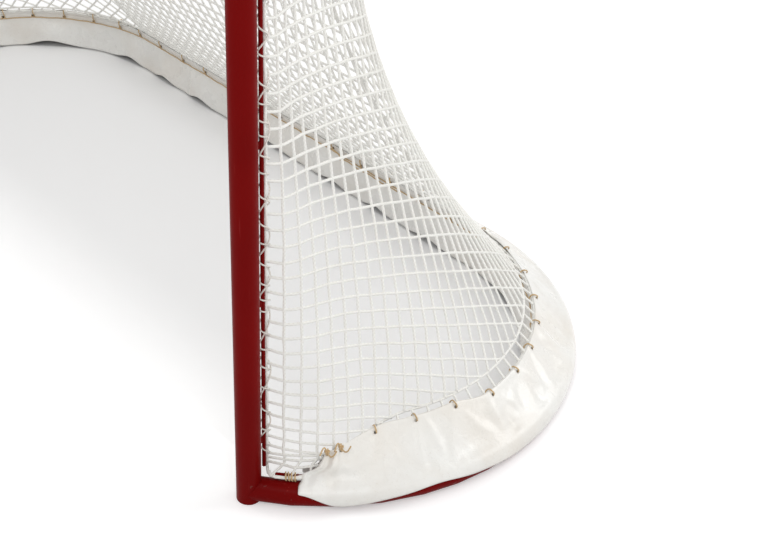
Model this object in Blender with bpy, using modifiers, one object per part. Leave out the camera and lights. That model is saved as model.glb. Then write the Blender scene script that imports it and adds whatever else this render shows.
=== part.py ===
# Regulation ice hockey goal: red tube frame, laced net and a white skirt over the base tube.
# Metres, +Z up, +Y towards the back of the goal, +X towards the right post seen from the front.
# The origin is at the middle of the footprint, on the ice.
import math

import bmesh
import bpy
from mathutils import Vector

# Frame, driving sizes
OPENING_WIDTH = 1.83          # between the posts
OPENING_HEIGHT = 1.22         # ice to the underside of the crossbar
POST_DIAMETER = 0.050
BASE_DIAMETER = 0.050
TOP_DIAMETER = 0.0337
BASE_DEPTH = 1.0              # post centre to the centre of the back tube
FRONT_TOE_OUT = 56.0          # degrees from straight back at which the base tube leaves the post
FRONT_BEND_RADIUS = 0.569
BEND_CHANGE = 21.0            # degrees from straight back at which the tighter bend starts
TOP_DEPTH = 0.44
TOP_CORNER_RADIUS = 0.29
TOP_TOE_IN = 26.0             # degrees from straight back at which each top side tube leaves its post
STRAIGHT_END = 0.030          # straight length of each bent tube after its last bend
PEG_BORE = 0.038              # socket in each post for the ice peg
PEG_DEPTH = 0.19

# Rods that the net is laced to
ROD_DIAMETER = 0.008
ROD_STANDOFF = 0.010          # clear gap between a tube and its rod
ROD_END_GAP = 0.045           # from each end of a straight rod to the tube that it stops at
CROSSBAR_ROD_RISE = 31.5      # degrees above level at which the crossbar's rod sits
BASE_ROD_ANGLE = 120.0        # degrees round the base tube from its outer side
BASE_ROD_STANDOFF = 0.005
TAB_LENGTH = 0.014
TAB_THICKNESS = 0.0036
POST_TABS = 4
CROSSBAR_TABS = 6
BASE_TABS = 4

# Net
STRAND = 0.005
SIDE_COLUMNS = 8
BACK_COLUMNS = 7
NET_ROWS = 7                  # rows above the skirt's lacing line
TOP_ROWS = 4
SELVAGE_GAP = 0.0015          # between a lacing rod and the net's edge
NET_SAG = 2.05                # how sharply the net flares out towards the base
LACE_HEIGHT = 0.130           # skirt lacing line above the ice
LACE_INSET = 0.100            # and inside the base tube's centre line
FRONT_EASE = 0.30             # length over which the net runs from the post's rod to the tube

# Skirt
SKIRT_THICKNESS = 0.0025
SKIRT_START = 0.100           # along the base tube from the post's centre
SKIRT_EASE = 0.26             # length over which the skirt rises to its full height
SKIRT_FRONT_HEIGHT = 0.42     # share of the full height at the front end
SKIRT_CLEAR = 0.0026          # between the skirt and the tube
SKIRT_HEM = -27.0             # degrees round the tube where the outer flap ends
SKIRT_SHOULDER = 51.0         # and where it leaves the tube for the net
CREST_SHARE = 0.5             # of the way from the hem to the shoulder, where it stands furthest out
HEM_LIFT = 62.0               # degrees that the hem climbs at the front end
HEM_EASE = 0.087              # length over which it comes down
FRONT_STEPS = 3               # columns of cloth in that length
HEM_RISE = 46.0               # and where the folds draw it up, beside the front bend
HEM_RISE_AT = 0.385           # middle of that stretch, along the base tube
HEM_RISE_REACH = 0.15
FOLD_DEPTH = 0.010            # at the bottom of the grommets
FOLD_AT_ROD = 0.5             # shares of that depth over the lacing rod
FOLD_AT_EDGE = 0.3            # at the top of the grommets
FOLD_INSIDE = 0.35            # and halfway down the inner flap
FOLD_SWAY = 0.15              # how far a fold leans, as a share of the grommets' pitch
TOP_DIP = 0.006               # how far the top edge drops between the grommets
GROMMET_HOLE = 0.012
GROMMET_DROP = 0.006          # from the lacing line down to the outer flap's holes
EDGE_MARGIN = 0.004           # straight cloth above the outer flap's holes
EDGE_WIDTH = 0.010            # and the free edge above that
EDGE_LEAN = 60.0              # degrees from level at which the outer flap's free edge stands
FLAP_OFFSET = 0.009           # from the net to the outer flap at the lacing line
INNER_OFFSET = 0.0081         # and to the inner flap
INNER_DROP = 0.002            # from the lacing line down to the inner flap's holes
INNER_LEAN = 0.002            # how far the inner flap leans in over its holes
INNER_HEM = 0.089             # where the inner flap nears the ice, inside the tube's centre line
INNER_HEM_FRONT = 0.72        # share of that at the front ends
INNER_HEM_LIFT = 0.0015
INNER_HEM_RISE = 0.012        # how far each fold lifts the inner hem off the ice
OUTER_FOLLOWS = (0, 0, 0, 0, 1, 1, 1)      # which rows of each flap follow the net, from the hem up
INNER_FOLLOWS = (1, 1, 1, 0.5, 0)          # and from the top edge down

# Cords
LACE_CORD = 0.003
WRAP_POINTS = 8               # points in one turn of a lacing
WRAPS_PER_ROW = 2
WRAP_SLACK = 0.0014           # between a straight lacing and its rod
LACE_OUTSIDE = 0.0065         # how far the skirt's lacing stands out of a hole, outside
LACE_INSIDE = 0.009           # and inside
LACE_OVER = 0.0038            # above the outer flap's edge
LACE_DROOP = 0.004            # how far it hangs between two grommets
TIE_TURNS = 4                 # round the front end of the base tube's lacing rod
TIE_PITCH = 0.0048
TIE_SLACK = 0.0009

SEAT = 0.0003                 # gap between touching pieces
ARC_STEP = 8.0                # degrees between points on a bend

# Worked out
POST_R = POST_DIAMETER / 2
BASE_R = BASE_DIAMETER / 2
TOP_R = TOP_DIAMETER / 2
ROD_R = ROD_DIAMETER / 2
POST_X = OPENING_WIDTH / 2 + POST_R
BAR_Z = OPENING_HEIGHT + POST_R
SKIRT_RING = BASE_R + SKIRT_CLEAR + SKIRT_THICKNESS / 2
SKIRT_CREST = SKIRT_HEM + CREST_SHARE * (SKIRT_SHOULDER - SKIRT_HEM)
BACK_REACH = BASE_DEPTH + SKIRT_RING * math.cos(math.radians(SKIRT_CREST)) + SKIRT_THICKNESS / 2
POST_Y = -(BACK_REACH - POST_R) / 2
TOE = math.radians(FRONT_TOE_OUT)
CHANGE = math.radians(BEND_CHANGE)
BACK_BEND_RADIUS = ((BASE_DEPTH - FRONT_BEND_RADIUS * (math.sin(TOE) - math.sin(CHANGE)))
                    / (1 + math.sin(CHANGE)))
FRONT_ARC = FRONT_BEND_RADIUS * (TOE - CHANGE)
BACK_ARC = BACK_BEND_RADIUS * (CHANGE + math.pi / 2)
SIDE_RUN = FRONT_ARC + BACK_ARC
BACK_HALF = (POST_X - FRONT_BEND_RADIUS * (math.cos(TOE) - math.cos(CHANGE))
             - BACK_BEND_RADIUS * math.cos(CHANGE))
BASE_RUN = 2 * (SIDE_RUN + BACK_HALF)
ROD_REACH = POST_R + ROD_STANDOFF + ROD_R
BASE_ROD_REACH = BASE_R + BASE_ROD_STANDOFF + ROD_R
SELVAGE_REACH = ROD_REACH + ROD_R + SELVAGE_GAP + STRAND / 2
TOE_IN = math.radians(TOP_TOE_IN)
TOP_STRAIGHT = (TOP_DEPTH - TOP_CORNER_RADIUS * (1 - math.sin(TOE_IN))) / math.cos(TOE_IN)
TOP_RUN = TOP_STRAIGHT + TOP_CORNER_RADIUS * (math.pi / 2 - TOE_IN)
TOP_HALF = POST_X - TOP_STRAIGHT * math.sin(TOE_IN) - TOP_CORNER_RADIUS * math.cos(TOE_IN)
NET_TOP_SAG = TOP_CORNER_RADIUS * (1 - math.cos(TOP_RUN / SIDE_COLUMNS / TOP_CORNER_RADIUS / 2))
NET_TOP_OUTSET = TOP_R + STRAND / 2 + NET_TOP_SAG + 2 * SEAT
NET_TOP_Z = BAR_Z + TOP_R + STRAND / 2 + SEAT

for item in list(bpy.data.objects):
    bpy.data.objects.remove(item, do_unlink=True)

goal = bpy.data.collections.new("Hockey_Goal")
cutters = bpy.data.collections.new("Cutters")
bpy.context.scene.collection.children.link(goal)
bpy.context.scene.collection.children.link(cutters)


def make_material(name, color, roughness, metallic=0.0):
    material = bpy.data.materials.new(name)
    material.use_nodes = True
    shader = material.node_tree.nodes["Principled BSDF"]
    shader.inputs["Base Color"].default_value = (*color, 1.0)
    shader.inputs["Roughness"].default_value = roughness
    shader.inputs["Metallic"].default_value = metallic
    return material


red_paint = make_material("Red_Paint", (0.20, 0.008, 0.010), 0.35)
net_twine = make_material("Net_Twine", (0.80, 0.78, 0.72), 0.85)
skirt_vinyl = make_material("Skirt_Vinyl", (0.86, 0.86, 0.83), 0.40)
white_cord = make_material("White_Cord", (0.82, 0.79, 0.74), 0.80)
tan_cord = make_material("Tan_Cord", (0.55, 0.36, 0.15), 0.70)


def add_object(name, data, material, collection=goal):
    obj = bpy.data.objects.new(name, data)
    collection.objects.link(obj)
    if material is not None:
        data.materials.append(material)
    return obj


def as_cutter(obj):
    obj.hide_render = True
    obj.display_type = 'WIRE'
    return obj


def shade(obj):
    obj.data.shade_smooth()
    obj.data.set_sharp_from_angle(angle=math.radians(35))
    return obj


def subtract(obj, cutter):
    modifier = obj.modifiers.new("Cut_" + cutter.name, 'BOOLEAN')
    modifier.operation = 'DIFFERENCE'
    modifier.solver = 'EXACT'
    modifier.object = cutter


# Paths. Each gives a point and the unit vector that points to the inside of the goal.
def base_station(run):
    """Point on the base tube's centre line, a distance along it from the right post."""
    mirrored = run > BASE_RUN / 2
    along = BASE_RUN - run if mirrored else run
    front_x = POST_X - FRONT_BEND_RADIUS * math.cos(TOE)
    front_y = FRONT_BEND_RADIUS * math.sin(TOE)
    if along <= FRONT_ARC:
        turn = TOE - along / FRONT_BEND_RADIUS
        x = front_x + FRONT_BEND_RADIUS * math.cos(turn)
        y = front_y - FRONT_BEND_RADIUS * math.sin(turn)
    else:
        turn = max(CHANGE - (along - FRONT_ARC) / BACK_BEND_RADIUS, -math.pi / 2)
        centre_x = front_x + (FRONT_BEND_RADIUS - BACK_BEND_RADIUS) * math.cos(CHANGE)
        centre_y = front_y - (FRONT_BEND_RADIUS - BACK_BEND_RADIUS) * math.sin(CHANGE)
        x = centre_x + BACK_BEND_RADIUS * math.cos(turn) - max(along - SIDE_RUN, 0.0)
        y = centre_y - BACK_BEND_RADIUS * math.sin(turn)
    inward = Vector((-math.cos(turn), math.sin(turn), 0))
    if mirrored:
        x = -x
        inward.x = -inward.x
    return Vector((x, POST_Y + y, 0)), inward


def top_station(share, outset=0.0):
    """Point on a right top tube: share 0 at the post, 1 at the end of its corner bend."""
    along = share * TOP_RUN
    if along < TOP_STRAIGHT:
        turn = TOE_IN
        point = Vector((POST_X - along * math.sin(turn), POST_Y + along * math.cos(turn), 0))
    else:
        turn = TOE_IN + (along - TOP_STRAIGHT) / TOP_CORNER_RADIUS
        centre = Vector((TOP_HALF, POST_Y + TOP_DEPTH - TOP_CORNER_RADIUS, 0))
        point = centre + TOP_CORNER_RADIUS * Vector((math.cos(turn), math.sin(turn), 0))
    outward = Vector((math.cos(turn), math.sin(turn), 0))
    return point + outward * outset


def lifted(point, height):
    return Vector((point.x, point.y, height))


def smooth_step(value):
    value = min(max(value, 0.0), 1.0)
    return value * value * (3 - 2 * value)


def steps_for(angle):
    return max(2, round(math.degrees(angle) / ARC_STEP))


def curve_object(name, points, radius, resolution, material, collection=goal):
    curve = bpy.data.curves.new(name, 'CURVE')
    curve.dimensions = '3D'
    curve.bevel_depth = radius
    curve.bevel_resolution = resolution
    curve.use_fill_caps = True
    spline = curve.splines.new('POLY')
    spline.points.add(len(points) - 1)
    for spot, point in zip(spline.points, points):
        spot.co = (*point, 1.0)
    return add_object(name, curve, material, collection)


def tube_mesh(name, points, radius, resolution, material):
    """A bent tube as a closed mesh, ready to be cut."""
    curve = curve_object(name + "_Path", points, radius, resolution, None)
    bpy.context.view_layer.update()
    depsgraph = bpy.context.evaluated_depsgraph_get()
    mesh = bpy.data.meshes.new_from_object(curve.evaluated_get(depsgraph))
    mesh.name = name
    matrix = curve.matrix_world.copy()
    bpy.data.objects.remove(curve, do_unlink=True)
    weld_and_face_out(mesh)
    obj = add_object(name, mesh, material)
    obj.matrix_world = matrix
    return shade(obj)


def weld_and_face_out(mesh):
    work = bmesh.new()
    work.from_mesh(mesh)
    bmesh.ops.remove_doubles(work, verts=work.verts, dist=0.00001)
    bmesh.ops.recalc_face_normals(work, faces=work.faces)
    work.to_mesh(mesh)
    work.free()


def cylinder(name, radius, depth, centre, axis, material, collection=goal, sides=32):
    mesh = bpy.data.meshes.new(name)
    work = bmesh.new()
    bmesh.ops.create_cone(work, cap_ends=True, segments=sides, radius1=radius, radius2=radius,
                          depth=depth)
    work.to_mesh(mesh)
    work.free()
    obj = add_object(name, mesh, material, collection)
    obj.location = centre
    obj.rotation_mode = 'QUATERNION'
    obj.rotation_quaternion = Vector((0, 0, 1)).rotation_difference(axis)
    return obj


def mitre(obj, point, normal):
    """Cuts off what lies beyond a plane given in world space, and closes the end."""
    bpy.context.view_layer.update()
    inverse = obj.matrix_world.inverted()
    local_point = inverse @ point
    local_normal = inverse.to_3x3() @ normal
    work = bmesh.new()
    work.from_mesh(obj.data)
    geometry = work.verts[:] + work.edges[:] + work.faces[:]
    cut = bmesh.ops.bisect_plane(work, geom=geometry, plane_co=local_point, plane_no=local_normal,
                                 clear_outer=True)
    rim = [part for part in cut["geom_cut"] if isinstance(part, bmesh.types.BMEdge)]
    bmesh.ops.edgeloop_fill(work, edges=rim)
    bmesh.ops.recalc_face_normals(work, faces=work.faces)
    work.to_mesh(obj.data)
    work.free()


# Frame
def build_posts():
    for name, side in (("right", 1), ("left", -1)):
        height = BAR_Z + POST_R
        foot = Vector((side * POST_X, POST_Y, height / 2))
        post = cylinder("post_" + name, POST_R, height, foot, Vector((0, 0, 1)), red_paint)
        corner = Vector((side * POST_X, POST_Y, BAR_Z - SEAT))
        mitre(post, corner, Vector((-side, 0, 1)).normalized())
        bore = cylinder("peg_bore_" + name, PEG_BORE / 2, 2 * PEG_DEPTH,
                        Vector((side * POST_X, POST_Y, 0)), Vector((0, 0, 1)), None, cutters)
        subtract(post, as_cutter(bore))
        shade(post)


def build_crossbar():
    length = 2 * (POST_X + POST_R)
    bar = cylinder("crossbar", POST_R, length, Vector((0, POST_Y, BAR_Z)), Vector((1, 0, 0)), red_paint)
    for side in (1, -1):
        corner = Vector((side * (POST_X - SEAT), POST_Y, BAR_Z))
        mitre(bar, corner, Vector((side, 0, -1)).normalized())
    shade(bar)


def post_cutter(name, side, bottom, top):
    spot = Vector((side * POST_X, POST_Y, (bottom + top) / 2))
    return as_cutter(cylinder(name, POST_R + SEAT, top - bottom, spot, Vector((0, 0, 1)), None, cutters,
                              sides=48))


def base_points(first, last, steps, inset=0.0, height=BASE_R):
    points = []
    for step in range(steps + 1):
        point, inward = base_station(first + (last - first) * step / steps)
        points.append(lifted(point + inward * inset, height))
    return points


def mirrored_points(points):
    return [Vector((-point.x, point.y, point.z)) for point in points]


def build_base():
    front_steps = steps_for(TOE - CHANGE)
    back_steps = steps_for(CHANGE + math.pi / 2)
    side = base_points(0, FRONT_ARC, front_steps)
    side += base_points(FRONT_ARC, SIDE_RUN, back_steps)[1:]
    side.append(side[-1] - Vector((STRAIGHT_END, 0, 0)))
    for name, points, sign in (("right", side, 1), ("left", mirrored_points(side), -1)):
        tube = tube_mesh("base_tube_" + name, points, BASE_R, 6, red_paint)
        subtract(tube, post_cutter("base_cope_" + name, sign, -BASE_R, 3 * BASE_R))
    half = BACK_HALF - STRAIGHT_END - SEAT
    back = [Vector((sign * half, POST_Y + BASE_DEPTH, BASE_R)) for sign in (1, -1)]
    tube_mesh("base_tube_back", back, BASE_R, 6, red_paint)


def build_top_frame():
    straight_share = TOP_STRAIGHT / TOP_RUN
    bends = steps_for(math.pi / 2 - TOE_IN)
    shares = [0.0] + [straight_share + (1 - straight_share) * step / bends for step in range(bends + 1)]
    side = [lifted(top_station(share), BAR_Z) for share in shares]
    side.append(side[-1] - Vector((STRAIGHT_END, 0, 0)))
    for name, points, sign in (("right", side, 1), ("left", mirrored_points(side), -1)):
        tube = tube_mesh("top_tube_" + name, points, TOP_R, 4, red_paint)
        subtract(tube, post_cutter("top_cope_" + name, sign, BAR_Z - POST_DIAMETER, BAR_Z + POST_DIAMETER))
        bar = cylinder("bar_cope_" + name, POST_R + SEAT, 4 * POST_DIAMETER,
                       Vector((sign * (POST_X - POST_R), POST_Y, BAR_Z)), Vector((1, 0, 0)), None, cutters,
                       sides=48)
        subtract(tube, as_cutter(bar))
    half = TOP_HALF - STRAIGHT_END - SEAT
    back = [Vector((sign * half, POST_Y + TOP_DEPTH, BAR_Z)) for sign in (1, -1)]
    tube_mesh("top_tube_back", back, TOP_R, 4, red_paint)


# Lacing rods, each on small tabs that stand off its tube
def fuse_tabs(rod, tabs, first, last):
    """Each tab is a point on the tube's axis, the way out and the way along; it spans first to last."""
    for middle, outward, along in tabs:
        mesh = bpy.data.meshes.new("tab")
        work = bmesh.new()
        bmesh.ops.create_cube(work, size=1.0)
        across = outward.cross(along)
        centre = middle + outward * ((first + last) / 2)
        for corner in work.verts:
            place = outward * (corner.co.x * (last - first)) + along * (corner.co.y * TAB_LENGTH)
            corner.co = centre + place + across * (corner.co.z * TAB_THICKNESS)
        bmesh.ops.recalc_face_normals(work, faces=work.faces)
        work.to_mesh(mesh)
        work.free()
        tab = as_cutter(add_object("tab_on_" + rod.name, mesh, None, cutters))
        modifier = rod.modifiers.new("Tab", 'BOOLEAN')
        modifier.operation = 'UNION'
        modifier.solver = 'EXACT'
        modifier.object = tab


def net_row_heights():
    """Heights of the net's rows beside the post, from the lacing line to the top tube's centre."""
    first = lace_line(0.0)[1]
    pitch = (BAR_Z - first) / NET_ROWS
    return [first + pitch * row for row in range(NET_ROWS + 1)]


def build_post_rods():
    bottom = BASE_DIAMETER + ROD_STANDOFF
    top = BAR_Z - TOP_R - ROD_STANDOFF
    heights = net_row_heights()
    pitch = heights[1] - heights[0]
    for name, side in (("right", 1), ("left", -1)):
        centre = Vector((side * POST_X, POST_Y + ROD_REACH, (bottom + top) / 2))
        rod = cylinder("post_lacing_rod_" + name, ROD_R, top - bottom, centre, Vector((0, 0, 1)), red_paint,
                       sides=12)
        tabs = []
        for count in range(POST_TABS):
            row = round(count * (NET_ROWS - 1) / (POST_TABS - 1))
            spot = Vector((side * POST_X, POST_Y, heights[row] + pitch / WRAPS_PER_ROW / 2))
            tabs.append((spot, Vector((0, 1, 0)), Vector((0, 0, 1))))
        fuse_tabs(rod, tabs, POST_R + SEAT, ROD_REACH)
        shade(rod)


def crossbar_rod_direction():
    rise = math.radians(CROSSBAR_ROD_RISE)
    return Vector((0, math.cos(rise), math.sin(rise)))


def crossbar_rod_half():
    return OPENING_WIDTH / 2 - ROD_END_GAP


def build_crossbar_rod():
    outward = crossbar_rod_direction()
    axis = Vector((1, 0, 0))
    middle = Vector((0, POST_Y, BAR_Z))
    rod = cylinder("crossbar_lacing_rod", ROD_R, 2 * crossbar_rod_half(), middle + outward * ROD_REACH, axis,
                   red_paint, sides=12)
    column = 2 * crossbar_rod_half() / BACK_COLUMNS
    tabs = []
    for count in range(CROSSBAR_TABS):
        place = round(count * (BACK_COLUMNS - 1) / (CROSSBAR_TABS - 1))
        x = (place + 0.5) * column - crossbar_rod_half()
        tabs.append((middle + axis * x, outward, axis))
    fuse_tabs(rod, tabs, POST_R + SEAT, ROD_REACH)
    shade(rod)


def base_rod_offset():
    """Inset and height of the base tube's lacing rod."""
    angle = math.radians(BASE_ROD_ANGLE)
    return -math.cos(angle) * BASE_ROD_REACH, BASE_R + math.sin(angle) * BASE_ROD_REACH


def build_base_rods():
    inset, height = base_rod_offset()
    start = SKIRT_START / 2
    side = base_points(start, SKIRT_START, 1, inset, height)
    side += base_points(SKIRT_START, SIDE_RUN, steps_for(TOE + math.pi / 2), inset, height)[1:]
    side.append(side[-1] - Vector((STRAIGHT_END, 0, 0)))
    half = BACK_HALF - STRAIGHT_END - SEAT
    back = [Vector((half, side[-1].y, height)), Vector((-half, side[-1].y, height))]
    angle = math.radians(BASE_ROD_ANGLE)
    for name, points, side_sign in (("right", side, 1), ("left", mirrored_points(side), -1),
                                    ("back", back, 0)):
        rod = tube_mesh("base_lacing_rod_" + name, points, ROD_R, 2, red_paint)
        tabs = []
        for count in range(BASE_TABS):
            share = (count + 0.5) / BASE_TABS
            run = start + (SIDE_RUN - start) * share
            if side_sign == 0:
                run = SIDE_RUN + 2 * BACK_HALF * share
            elif side_sign < 0:
                run = BASE_RUN - run
            point, inward = base_station(run)
            outward = Vector((0, 0, math.sin(angle))) - inward * math.cos(angle)
            tabs.append((lifted(point, BASE_R), outward, inward.cross(Vector((0, 0, 1)))))
        fuse_tabs(rod, tabs, BASE_R + 2 * SEAT, BASE_ROD_REACH)


# Net
def skirt_rise(run):
    """Share of its full height that the skirt has reached, from a front end to the back."""
    along = min(run, BASE_RUN - run)
    return SKIRT_FRONT_HEIGHT + (1 - SKIRT_FRONT_HEIGHT) * smooth_step((along - SKIRT_START) / SKIRT_EASE)


def net_foot():
    """Inset and height of the net's bottom selvage, just up the slope from the base rod."""
    inset, height = base_rod_offset()
    slope = Vector((LACE_INSET - inset, LACE_HEIGHT - height)).normalized()
    reach = ROD_R + SELVAGE_GAP + STRAND / 2
    return inset + slope.x * reach, height + slope.y * reach


def lace_line(run):
    """Inset and height of the line where the skirt is laced to the net."""
    foot_inset, foot_height = net_foot()
    rise = skirt_rise(run)
    return (foot_inset + (LACE_INSET - foot_inset) * rise,
            foot_height + (LACE_HEIGHT - foot_height) * rise)


def rod_pull(run, inset):
    """Moves the net's front edge from over the base tube to the post's lacing rod."""
    along = min(run, BASE_RUN - run)
    side = 1 if run <= BASE_RUN / 2 else -1
    start, inward = base_station(0.0)
    free = start + inward * inset
    seat = Vector((POST_X, POST_Y + SELVAGE_REACH, 0))
    pull = (seat - free) * (1 - smooth_step(along / FRONT_EASE))
    return Vector((side * pull.x, pull.y, 0))


def net_point(run, top, level):
    """Level 0 is the bottom selvage, 1 the lacing line and NET_ROWS + 1 the top."""
    point, inward = base_station(run)
    foot_inset, foot_height = net_foot()
    lace_inset, lace_height = lace_line(run)
    if level <= 1:
        inset = foot_inset + (lace_inset - foot_inset) * level
        height = foot_height + (lace_height - foot_height) * level
        return lifted(point + inward * inset + rod_pull(run, inset), height)
    share = (level - 1) / NET_ROWS
    low = point + inward * lace_inset + rod_pull(run, lace_inset)
    return lifted(top.lerp(low, (1 - share) ** NET_SAG), lace_height + (BAR_Z - lace_height) * share)


def grid_mesh(name, rows, open_cells, material):
    """A sheet from rows of points; open_cells are left out."""
    mesh = bpy.data.meshes.new(name)
    work = bmesh.new()
    grid = [[work.verts.new(point) for point in row] for row in rows]
    for row in range(len(grid) - 1):
        for column in range(len(grid[row]) - 1):
            if (row, column) not in open_cells:
                work.faces.new((grid[row][column], grid[row][column + 1],
                                grid[row + 1][column + 1], grid[row + 1][column]))
    bmesh.ops.recalc_face_normals(work, faces=work.faces)
    work.to_mesh(mesh)
    work.free()
    return add_object(name, mesh, material)


def as_lattice(obj):
    modifier = obj.modifiers.new("Strands", 'WIREFRAME')
    modifier.thickness = STRAND
    modifier.use_replace = True
    modifier.use_boundary = True
    modifier.use_even_offset = True
    modifier.use_relative_offset = False
    return obj


def side_top(share):
    """Where a side panel meets the top tube: beside the rod at the post, then outside the tube."""
    seat = Vector((POST_X, POST_Y + SELVAGE_REACH, 0))
    first = (SELVAGE_REACH + STRAND) / TOP_DEPTH
    outside = top_station(max(share, first), NET_TOP_OUTSET)
    return seat.lerp(outside, smooth_step(share * SIDE_COLUMNS))


def build_side_nets():
    for name, sign in (("right", 1), ("left", -1)):
        rows = []
        for level in range(NET_ROWS + 2):
            row = []
            for column in range(SIDE_COLUMNS + 1):
                share = column / SIDE_COLUMNS
                point = net_point(SIDE_RUN * share, side_top(share), level)
                if column == SIDE_COLUMNS:
                    point.x += STRAND / 2 + SEAT
                if level == NET_ROWS + 1 and column == 0:
                    point.z -= TOP_R + STRAND
                row.append(Vector((sign * point.x, point.y, point.z)))
            rows.append(row)
        as_lattice(grid_mesh("net_side_" + name, rows, (), net_twine))


def build_back_net():
    top_y = POST_Y + TOP_DEPTH + NET_TOP_OUTSET
    rows = []
    for level in range(NET_ROWS + 2):
        row = []
        for column in range(BACK_COLUMNS + 1):
            share = column / BACK_COLUMNS
            top = Vector((TOP_HALF * (1 - 2 * share), top_y, 0))
            point = net_point(SIDE_RUN + 2 * BACK_HALF * share, top, level)
            if column in (0, BACK_COLUMNS):
                point.x -= math.copysign(STRAND / 2 + SEAT, point.x)
            row.append(point)
        rows.append(row)
    as_lattice(grid_mesh("net_back", rows, (), net_twine))


def build_top_net():
    rows = []
    for station in range(TOP_ROWS + 1):
        edge = top_station(station / TOP_ROWS)
        half, y = edge.x, edge.y
        if station == 0:
            y = POST_Y + crossbar_rod_direction().y * ROD_REACH + ROD_R + SELVAGE_GAP + STRAND / 2
            half = crossbar_rod_half()
        rows.append([Vector((half * (1 - 2 * column / BACK_COLUMNS), y, NET_TOP_Z))
                     for column in range(BACK_COLUMNS + 1)])
    as_lattice(grid_mesh("net_top", rows, (), net_twine))


# Skirt: an outer and an inner flap, laced through the net along their top edges
def grommet_runs():
    side_pitch = SIDE_RUN / SIDE_COLUMNS
    back_pitch = 2 * BACK_HALF / BACK_COLUMNS
    side = [(count + 0.5) * side_pitch for count in range(SIDE_COLUMNS)]
    side = [run for run in side if run > SKIRT_START + GROMMET_HOLE]
    back = [SIDE_RUN + (count + 0.5) * back_pitch for count in range(BACK_COLUMNS)]
    return side + back + [BASE_RUN - run for run in reversed(side)]


def skirt_columns():
    """Runs along the tube, each with its place between two grommets (0 at a grommet)."""
    runs = grommet_runs()
    half = GROMMET_HOLE / 2
    front = [SKIRT_START + HEM_EASE * step / FRONT_STEPS for step in range(FRONT_STEPS + 1)]
    front = [(run, (run - SKIRT_START) / (runs[0] - SKIRT_START)) for run in front]
    columns = list(front)
    for here, after in zip(runs, runs[1:] + [BASE_RUN]):
        columns += [(here - half, 0.0), (here + half, 0.0)]
        if after > runs[-1]:
            columns += [(BASE_RUN - run, 1 - place) for run, place in reversed(front)]
        elif here > SIDE_RUN and after < BASE_RUN - SIDE_RUN:
            columns.append(((here + after) / 2, 0.5))
        else:
            columns += [(here + (after - here) / 3, 0.4), (here + (after - here) * 2 / 3, 0.8)]
    return columns


def grommet_cells(columns, row):
    half = GROMMET_HOLE / 2
    runs = grommet_runs()
    cells = set()
    for index in range(len(columns) - 1):
        middle = (columns[index][0] + columns[index + 1][0]) / 2
        if min(abs(middle - run) for run in runs) < half / 2:
            cells.add((row, index))
    return cells


def fold(place, shift):
    """How far a fold stands out, 0 to 1, at a place between two grommets."""
    return max(0.0, math.sin(math.pi * min(max(place + shift, 0.0), 1.0)))


def slope_frame(run):
    """The lacing line with the unit vectors up the net's foot and out of it."""
    foot_inset, foot_height = net_foot()
    inset, height = lace_line(run)
    up = Vector((LACE_INSET - foot_inset, LACE_HEIGHT - foot_height)).normalized()
    return Vector((inset, height)), up, Vector((-up.y, up.x))


def net_column_runs():
    """Where the net's upright strands stand, along the base tube."""
    side = [SIDE_RUN * column / SIDE_COLUMNS for column in range(SIDE_COLUMNS + 1)]
    back = [SIDE_RUN + 2 * BACK_HALF * column / BACK_COLUMNS for column in range(1, BACK_COLUMNS)]
    return side + back + [BASE_RUN - run for run in reversed(side)]


def laced_point(run):
    """A point of the net's lacing line on its base station's own inset."""
    point, inward = base_station(run)
    inset, height = lace_line(run)
    return lifted(point + inward * inset + rod_pull(run, inset), height)


def net_shift(run):
    """From the lacing line's inset at a run to where the taut strand really passes."""
    columns = net_column_runs()
    after = next(index for index, column in enumerate(columns) if column >= run - SEAT and index > 0)
    before = after - 1
    share = (run - columns[before]) / (columns[after] - columns[before])
    strand = laced_point(columns[before]).lerp(laced_point(columns[after]), share)
    point, inward = base_station(run)
    inset, height = lace_line(run)
    return strand - lifted(point + inward * inset, height)


def skirt_spot(run, spot, follows):
    """A point at an inset and height, moved by a share of what the net's line is moved."""
    point, inward = base_station(run)
    return lifted(point + inward * spot.x, spot.y) + net_shift(run) * follows


def hem_angle(run):
    """Degrees round the base tube at which the outer flap ends."""
    along = min(run, BASE_RUN - run)
    front = 1 - smooth_step((along - SKIRT_START) / HEM_EASE)
    drawn_up = math.exp(-((along - HEM_RISE_AT) / HEM_RISE_REACH) ** 2)
    return SKIRT_HEM + HEM_LIFT * front + HEM_RISE * drawn_up


def outer_profile(run, place):
    """Inset and height of the outer flap's points, from its hem up to its top edge."""
    lace, up, out = slope_frame(run)
    hem = hem_angle(run)
    points = []
    for angle in (hem, hem + CREST_SHARE * (SKIRT_SHOULDER - hem), SKIRT_SHOULDER):
        turn = math.radians(angle)
        points.append(Vector((-math.cos(turn) * SKIRT_RING, BASE_R + math.sin(turn) * SKIRT_RING)))
    crease = FOLD_DEPTH * fold(place, 0.0)
    over_rod = ROD_R + SKIRT_THICKNESS / 2 + SKIRT_CLEAR + FOLD_AT_ROD * FOLD_DEPTH * fold(place, FOLD_SWAY)
    points.append(Vector(base_rod_offset()) + out * over_rod - up * ROD_R)
    hole_top = lace + out * FLAP_OFFSET - up * GROMMET_DROP
    points.append(hole_top - up * GROMMET_HOLE + out * crease)
    points.append(hole_top + out * (FOLD_AT_EDGE * crease))
    lean = math.radians(EDGE_LEAN)
    free = EDGE_WIDTH - TOP_DIP * fold(place, 0.0)
    points.append(points[5] + up * EDGE_MARGIN + Vector((math.cos(lean), math.sin(lean))) * free)
    return points


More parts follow.
